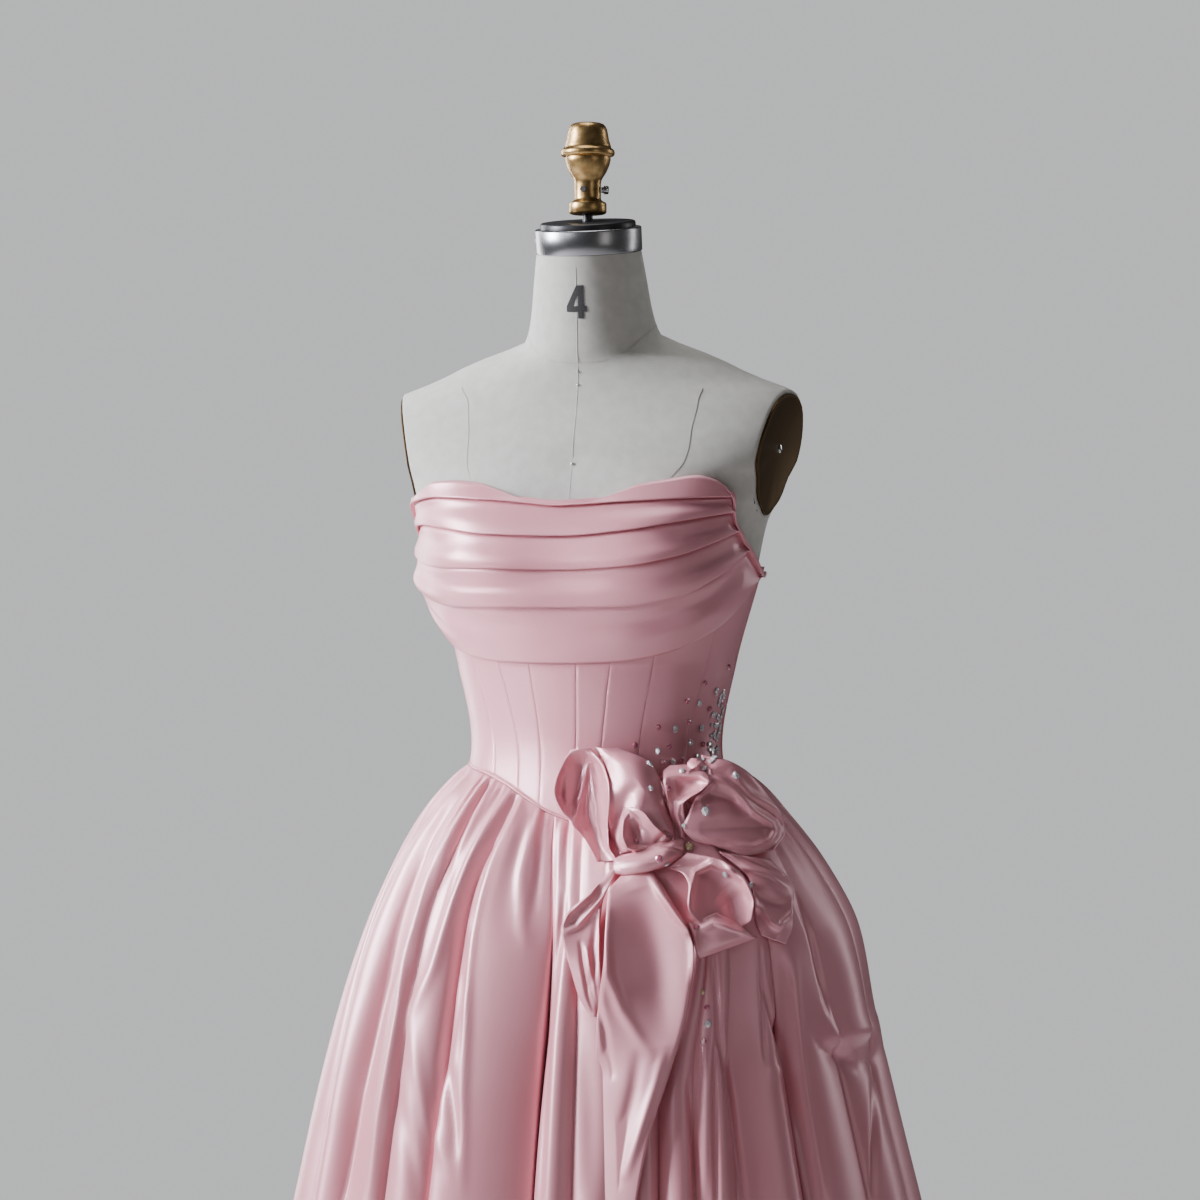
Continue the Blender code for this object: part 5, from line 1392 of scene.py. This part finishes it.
# Crystals: where each is seen in the photograph, how wide it is, its shape and its colour.
Crystal = namedtuple("Crystal", "x y width shape colour")
CRYSTALS = [
    Crystal(728, 666.5, 4.6, "round", "pink"),
    Crystal(704.6, 683, 4.6, "round", "pink"),
    Crystal(716, 690.7, 5.4, "oval", "clear"),
    Crystal(687, 701, 4.8, "round", "pink"),
    Crystal(699, 703, 6.0, "oval", "clear"),
    Crystal(709.6, 708.6, 4.8, "round", "pink"),
    Crystal(721.5, 703, 4.4, "round", "pink"),
    Crystal(688.5, 722, 4.6, "round", "pink"),
    Crystal(658, 727, 4.6, "round", "pink"),
    Crystal(675, 729, 6.4, "oval", "clear"),
    Crystal(701, 728, 6.4, "oval", "clear"),
    Crystal(690, 743, 6.0, "oval", "clear"),
    Crystal(702.8, 744, 4.6, "round", "pink"),
    Crystal(669, 746.5, 4.4, "round", "pink"),
    Crystal(657.6, 751, 6.0, "oval", "clear"),
    Crystal(634.5, 745, 5.2, "round", "pink"),
    Crystal(648.8, 764.5, 6.6, "oval", "clear"),
    Crystal(662, 762, 4.8, "round", "pink"),
    Crystal(672.6, 762.6, 6.6, "oval", "clear"),
    Crystal(681.6, 760, 4.6, "round", "pink"),
    Crystal(697, 757, 6.0, "oval", "clear"),
    Crystal(735.4, 776, 7.2, "oval", "clear"),
    Crystal(650.5, 788.5, 4.8, "round", "clear"),
    Crystal(668, 788.5, 5.0, "round", "pink"),
    Crystal(705.4, 811, 8.4, "oval", "clear"),
    Crystal(684, 825.7, 4.0, "round", "clear"),
    Crystal(689, 847, 7.2, "round", "gold"),
    Crystal(659, 859, 6.4, "round", "pink"),
    Crystal(667, 864, 3.6, "round", "clear"),
    Crystal(736, 854.5, 5.2, "round", "clear"),
    Crystal(636, 841, 4.6, "round", "pink"),
    Crystal(726, 874, 6.0, "oval", "clear"),
    Crystal(752, 885, 5.6, "oval", "clear"),
    Crystal(696.7, 927.5, 4.8, "round", "pink"),
    Crystal(702.5, 992, 5.2, "round", "gold"),
    Crystal(707, 1007.6, 4.8, "round", "pink"),
    Crystal(708, 1024, 6.6, "oval", "clear"),
    Crystal(703.8, 1042, 5.2, "round", "pink"),
    Crystal(713, 735, 5.0, "oval", "clear"),
    Crystal(711, 752, 4.6, "oval", "clear"),
    Crystal(682, 771, 4.4, "round", "clear"),
    Crystal(704, 768, 4.2, "round", "clear"),
]
# Small clear stones crowd the left silhouette of the waist: from and to, in the photograph.
EDGE_CRYSTALS = 70
EDGE_FROM = (725, 688)
EDGE_TO = (716, 762)
EDGE_SPREAD = 5.0
FACETS = 8
STONE_SCALE = 0.00118


def make_gem_mesh(name, material, metal):
    """A cut stone of unit width with its flat table up, on a small metal cup."""
    body = bmesh.new()
    turns = np.linspace(0, 2 * math.pi, FACETS, endpoint=False)
    rows = ((0.50, 0.10, 0.0), (0.50, 0.14, 0.5), (0.40, 0.26, 0.0), (0.27, 0.34, 0.5))
    rings = []
    for radius, height, shift in rows:
        turn = turns + shift * 2 * math.pi / FACETS
        ring = [body.verts.new((radius * math.cos(a), radius * math.sin(a), height)) for a in turn]
        rings.append(ring)
    for number, (lower, upper) in enumerate(zip(rings, rings[1:])):
        shifted = rows[number][2] > rows[number + 1][2]
        for j in range(FACETS):
            after = (j + 1) % FACETS
            if shifted:
                body.faces.new((lower[j], upper[after], upper[j]))
                body.faces.new((lower[j], lower[after], upper[after]))
            else:
                body.faces.new((lower[j], lower[after], upper[j]))
                body.faces.new((lower[after], upper[after], upper[j]))
    body.faces.new(rings[-1])
    cup_low = [body.verts.new((0.34 * math.cos(a), 0.34 * math.sin(a), 0.0)) for a in turns]
    for j in range(FACETS):
        after = (j + 1) % FACETS
        face = body.faces.new((cup_low[j], cup_low[after], rings[0][after], rings[0][j]))
        face.material_index = 1
    for a in turns[::2]:
        made = bmesh.ops.create_icosphere(body, subdivisions=1, radius=0.075)
        for vert in made["verts"]:
            vert.co += Vector((0.47 * math.cos(a), 0.47 * math.sin(a), 0.17))
        for face in {face for vert in made["verts"] for face in vert.link_faces}:
            face.material_index = 1
    bmesh.ops.recalc_face_normals(body, faces=body.faces)
    mesh = bpy.data.meshes.new(name)
    body.to_mesh(mesh)
    body.free()
    mesh.materials.append(material)
    mesh.materials.append(metal)
    return mesh


def seen_place(x, y, trees):
    """Where the camera's ray through a place in the photograph first meets the part."""
    focal = LENS / SENSOR * PICTURE
    way = VIEW * focal + RIGHT * (x - PICTURE / 2) - np.array([0.0, 0.0, 1.0]) * (y - PICTURE / 2)
    way = Vector(way).normalized()
    best = None
    for tree in trees:
        place, normal, _, distance = tree.ray_cast(Vector(CAMERA_PLACE), way)
        if place is not None and (best is None or distance < best[2]):
            best = (place, normal, distance)
    return best


def make_crystals(pieces, materials, metal):
    bpy.context.view_layer.update()
    depsgraph = bpy.context.evaluated_depsgraph_get()
    trees = [BVHTree.FromObject(piece, depsgraph) for piece in pieces]
    meshes = {}
    for colour, material in materials.items():
        meshes[colour] = make_gem_mesh(f"gem_{colour}", material, metal)
    random = np.random.default_rng(4)
    wanted = list(CRYSTALS)
    for _ in range(EDGE_CRYSTALS):
        t = random.uniform()
        x = EDGE_FROM[0] + t * (EDGE_TO[0] - EDGE_FROM[0]) - abs(random.normal()) * EDGE_SPREAD
        y = EDGE_FROM[1] + t * (EDGE_TO[1] - EDGE_FROM[1])
        wanted.append(Crystal(x, y, random.uniform(2.6, 4.4), "round", "clear"))
    joined = {}
    for crystal in wanted:
        met = seen_place(crystal.x, crystal.y, trees)
        if met is None:
            continue
        place, normal, _ = met
        if normal.dot(Vector(VIEW)) > 0:
            normal = -normal
        size = crystal.width * STONE_SCALE
        gem = bpy.data.objects.new("gem", meshes[crystal.colour])
        turn = normal.to_track_quat("Z", "Y")
        gem.rotation_mode = "QUATERNION"
        gem.rotation_quaternion = turn
        wide = 0.78 if crystal.shape == "oval" else 1.0
        gem.scale = (size * wide, size, size)
        gem.location = place + normal * 0.0002
        joined.setdefault(crystal.colour, []).append(gem)
    for colour, gems in joined.items():
        body = bmesh.new()
        for gem in gems:
            bpy.context.scene.collection.objects.link(gem)
        bpy.context.view_layer.update()
        for gem in gems:
            copy = gem.data.copy()
            copy.transform(gem.matrix_world)
            body.from_mesh(copy)
            bpy.data.meshes.remove(copy)
        for gem in gems:
            bpy.data.objects.remove(gem)
        mesh = bpy.data.meshes.new(f"crystals_{colour}")
        body.to_mesh(mesh)
        body.free()
        for material in meshes[colour].materials:
            mesh.materials.append(material)
        piece = bpy.data.objects.new(f"crystals_{colour}", mesh)
        bpy.context.scene.collection.objects.link(piece)
        own(piece, "steel")


# Materials.
def new_material(name, colour, roughness, metallic=0.0):
    material = bpy.data.materials.new(name)
    material.use_nodes = True
    shader = material.node_tree.nodes["Principled BSDF"]
    shader.inputs["Base Color"].default_value = (*colour, 1.0)
    shader.inputs["Roughness"].default_value = roughness
    shader.inputs["Metallic"].default_value = metallic
    return material, material.node_tree, shader


def add(tree, kind, **inputs):
    node = tree.nodes.new(kind)
    for name, value in inputs.items():
        node.inputs[name.replace("_", " ")].default_value = value
    return node


def object_place(tree):
    return tree.nodes.new("ShaderNodeTexCoord").outputs["Object"]


def noise(tree, scale, detail=2.0, stretch=None):
    texture = add(tree, "ShaderNodeTexNoise", Scale=scale, Detail=detail)
    place = object_place(tree)
    if stretch:
        mapping = tree.nodes.new("ShaderNodeMapping")
        mapping.inputs["Scale"].default_value = stretch
        tree.links.new(place, mapping.inputs["Vector"])
        place = mapping.outputs["Vector"]
    tree.links.new(place, texture.inputs["Vector"])
    return texture.outputs["Fac"]


def bump(tree, shader, height, strength, distance, after=None):
    node = add(tree, "ShaderNodeBump", Strength=strength, Distance=distance)
    tree.links.new(height, node.inputs["Height"])
    if after is not None:
        tree.links.new(after, node.inputs["Normal"])
    tree.links.new(node.outputs["Normal"], shader.inputs["Normal"])
    return node.outputs["Normal"]


def colour_between(tree, shader, factor, first, second):
    ramp = tree.nodes.new("ShaderNodeValToRGB")
    ramp.color_ramp.elements[0].color = (*first, 1.0)
    ramp.color_ramp.elements[1].color = (*second, 1.0)
    ramp.color_ramp.elements[0].position = 0.35
    ramp.color_ramp.elements[1].position = 0.65
    tree.links.new(factor, ramp.inputs["Fac"])
    tree.links.new(ramp.outputs["Color"], shader.inputs["Base Color"])


SATIN_COLOUR = (0.78, 0.335, 0.385)
SATIN_DEEP = (0.74, 0.29, 0.335)


def satin_material():
    material, tree, shader = new_material("pink_satin", SATIN_COLOUR, 0.40, 0.18)
    colour_between(tree, shader, noise(tree, 7.0), SATIN_DEEP, SATIN_COLOUR)
    shader.inputs["Specular IOR Level"].default_value = 1.0
    shader.inputs["Specular Tint"].default_value = (1.0, 0.97, 1.0, 1.0)
    shader.inputs["Anisotropic"].default_value = 0.25
    shader.inputs["Sheen Weight"].default_value = 0.06
    shader.inputs["Sheen Roughness"].default_value = 0.4
    shader.inputs["Sheen Tint"].default_value = (0.95, 0.88, 1.0, 1.0)
    shader.inputs["Coat Weight"].default_value = 0.55
    shader.inputs["Coat Roughness"].default_value = 0.36
    crumple = bump(tree, shader, noise(tree, 26.0, 3.0), 0.10, 0.004)
    bump(tree, shader, noise(tree, 900.0, 2.0, (1.0, 1.0, 0.35)), 0.05, 0.0004, crumple)
    return material


LINEN_COLOUR = (0.60, 0.585, 0.53)
LINEN_SHADE = (0.54, 0.525, 0.47)


def weave_height(tree, threads):
    """Threads that cross at right angles, as a height."""
    place = object_place(tree)
    parts = tree.nodes.new("ShaderNodeSeparateXYZ")
    tree.links.new(place, parts.inputs["Vector"])
    waves_made = []
    for axis in ("X", "Z"):
        spread = tree.nodes.new("ShaderNodeMath")
        spread.operation = "MULTIPLY"
        spread.inputs[1].default_value = threads
        tree.links.new(parts.outputs[axis], spread.inputs[0])
        wave = tree.nodes.new("ShaderNodeMath")
        wave.operation = "SINE"
        tree.links.new(spread.outputs[0], wave.inputs[0])
        waves_made.append(wave.outputs[0])
    both = tree.nodes.new("ShaderNodeMath")
    both.operation = "MULTIPLY"
    tree.links.new(waves_made[0], both.inputs[0])
    tree.links.new(waves_made[1], both.inputs[1])
    return both.outputs[0]


def linen_material(name="linen", colour=LINEN_COLOUR, shade=LINEN_SHADE):
    material, tree, shader = new_material(name, colour, 0.86)
    colour_between(tree, shader, noise(tree, 90.0, 6.0), shade, colour)
    shader.inputs["Sheen Weight"].default_value = 0.25
    shader.inputs["Specular IOR Level"].default_value = 0.25
    woven = bump(tree, shader, weave_height(tree, 3600.0), 0.25, 0.0004)
    bump(tree, shader, noise(tree, 55.0, 4.0), 0.10, 0.0015, woven)
    return material


def brass_material():
    material, tree, shader = new_material("old_brass", (0.62, 0.40, 0.16), 0.34, 1.0)
    colour_between(tree, shader, noise(tree, 120.0, 5.0), (0.33, 0.20, 0.075), (0.66, 0.44, 0.19))
    bump(tree, shader, noise(tree, 420.0, 4.0), 0.18, 0.0006)
    return material


def plain_metal(name, colour, roughness, grain, stretch=None, anisotropic=0.0):
    material, tree, shader = new_material(name, colour, roughness, 1.0)
    shader.inputs["Anisotropic"].default_value = anisotropic
    bump(tree, shader, noise(tree, grain, 3.0, stretch), 0.08, 0.0003)
    return material


def black_material():
    material, tree, shader = new_material("black_paint", (0.018, 0.018, 0.019), 0.38)
    colour_between(tree, shader, noise(tree, 40.0), (0.014, 0.014, 0.015), (0.024, 0.024, 0.026))
    bump(tree, shader, noise(tree, 700.0, 2.0), 0.06, 0.0003)
    return material


def gem_material(name, colour):
    material, tree, shader = new_material(name, colour, 0.05, 0.1)
    shader.inputs["Specular IOR Level"].default_value = 1.0
    shader.inputs["Coat Weight"].default_value = 1.0
    shader.inputs["Coat Roughness"].default_value = 0.02
    colour_between(tree, shader, noise(tree, 600.0), tuple(0.55 * part for part in colour), colour)
    return material


# Near-black ink: real print on the neck's numeral, and painted shade on the disc that stands for the finial's
# hole.
def ink_and_hole_shade_material():
    material, tree, shader = new_material("printed_ink_and_hole_shade", (0.035, 0.034, 0.034), 0.8)
    colour_between(tree, shader, noise(tree, 900.0), (0.028, 0.027, 0.027), (0.055, 0.053, 0.051))
    return material


def floor_material():
    material, tree, shader = new_material("pale_floor", (0.62, 0.61, 0.60), 0.7)
    colour_between(tree, shader, noise(tree, 2.0), (0.60, 0.59, 0.58), (0.64, 0.63, 0.62))
    return material


FLOOR_RADIUS = 3.4


def make_floor():
    body = bmesh.new()
    bmesh.ops.create_circle(body, cap_ends=True, segments=96, radius=FLOOR_RADIUS)
    floor = new_object("studio_floor", body, floor_material())
    floor.location = (0, 0, -0.0005)


# Soft lights: where each stands, how wide and high it is, its power and colour, the height
# that it is aimed at and how wide its beam spreads, in degrees.
Light = namedtuple("Light", "name place width height power colour aim spread")
LIGHTS = [
    Light("key", (-3.1, -1.2, 2.5), 1.0, 1.8, 360, (0.90, 0.92, 1.0), 1.05, 180),
    Light("front", (-2.2, -3.8, 2.6), 1.4, 1.4, 12, (0.94, 0.94, 1.0), 1.05, 180),
    Light("bodice", (-2.3, -2.3, 1.7), 0.3, 0.3, 0.45, (0.84, 0.90, 1.0), 1.09, 9),
    Light("fill", (3.0, -2.4, 1.6), 1.0, 2.0, 6, (1.0, 0.95, 0.95), 1.05, 180),
    Light("left_rim", (-2.3, 1.6, 1.7), 0.5, 2.4, 50, (0.96, 0.96, 1.0), 1.05, 180),
    Light("right_rim", (2.5, 1.8, 1.9), 0.4, 2.2, 13, (0.96, 0.96, 1.0), 1.05, 180),
    Light("top", (-0.2, 0.1, 3.6), 1.2, 1.2, 22, (0.97, 0.97, 1.0), 1.05, 180),
]
ROOM_LIGHT = 0.05
BACKDROP_LIGHT = 0.80


def make_lights():
    for light in LIGHTS:
        lamp = bpy.data.lights.new(light.name, "AREA")
        lamp.shape = "RECTANGLE"
        lamp.size = light.width
        lamp.size_y = light.height
        lamp.energy = light.power
        lamp.color = light.colour
        lamp.spread = math.radians(light.spread)
        thing = bpy.data.objects.new(light.name, lamp)
        thing.location = light.place
        aim = Vector((0.0, 0.0, light.aim)) - Vector(light.place)
        thing.rotation_euler = aim.to_track_quat("-Z", "Y").to_euler()
        bpy.context.scene.collection.objects.link(thing)
    world = bpy.data.worlds.new("studio")
    world.use_nodes = True
    tree = world.node_tree
    background = tree.nodes["Background"]
    background.inputs["Color"].default_value = (0.80, 0.81, 0.83, 1.0)
    path = tree.nodes.new("ShaderNodeLightPath")
    strength = tree.nodes.new("ShaderNodeMapRange")
    strength.inputs["To Min"].default_value = ROOM_LIGHT
    strength.inputs["To Max"].default_value = BACKDROP_LIGHT
    tree.links.new(path.outputs["Is Camera Ray"], strength.inputs["Value"])
    tree.links.new(strength.outputs["Result"], background.inputs["Strength"])
    bpy.context.scene.world = world


# The columns for how a piece of the gown is cut before it is folded, gathered or sewn: the flat width
# and length that hold the cut and its own area, in metres, then how it is held and on what. No piece is given
# one.
Cut = namedtuple("Cut", "width length area held rests_on")


def build():
    satin = satin_material()
    linen = linen_material()
    thread = linen_material("linen_seam", (0.56, 0.545, 0.49), (0.48, 0.465, 0.41))
    brass = brass_material()
    bronze = plain_metal("dark_bronze", (0.085, 0.052, 0.022), 0.42, 240.0)
    chrome = plain_metal("brushed_chrome", (0.44, 0.44, 0.45), 0.27, 60.0, (1.0, 1.0, 60.0), 0.5)
    steel = plain_metal("bright_steel", (0.72, 0.72, 0.72), 0.2, 400.0)
    black = black_material()
    ink_and_hole_shade = ink_and_hole_shade_material()
    make_stand(black)
    make_form(linen, bronze, steel)
    make_form_seams(thread)
    make_pins(steel)
    make_numeral(ink_and_hole_shade)
    make_neck_fittings(chrome, black, brass, steel, ink_and_hole_shade)
    bodice = make_bodice(satin)
    placket = make_placket(satin)
    make_piping(satin)
    drapes = make_drape(satin)
    skirts = make_skirt(satin)
    petals = make_rosette(satin)
    gems = {
        "clear": gem_material("crystal_clear", (0.96, 0.95, 0.97)),
        "pink": gem_material("crystal_pink", (0.74, 0.20, 0.30)),
        "gold": gem_material("crystal_gold", (0.80, 0.62, 0.36)),
    }
    make_crystals([*bodice, *skirts, *petals], gems, steel)


make_camera()
make_floor()
make_lights()
build()
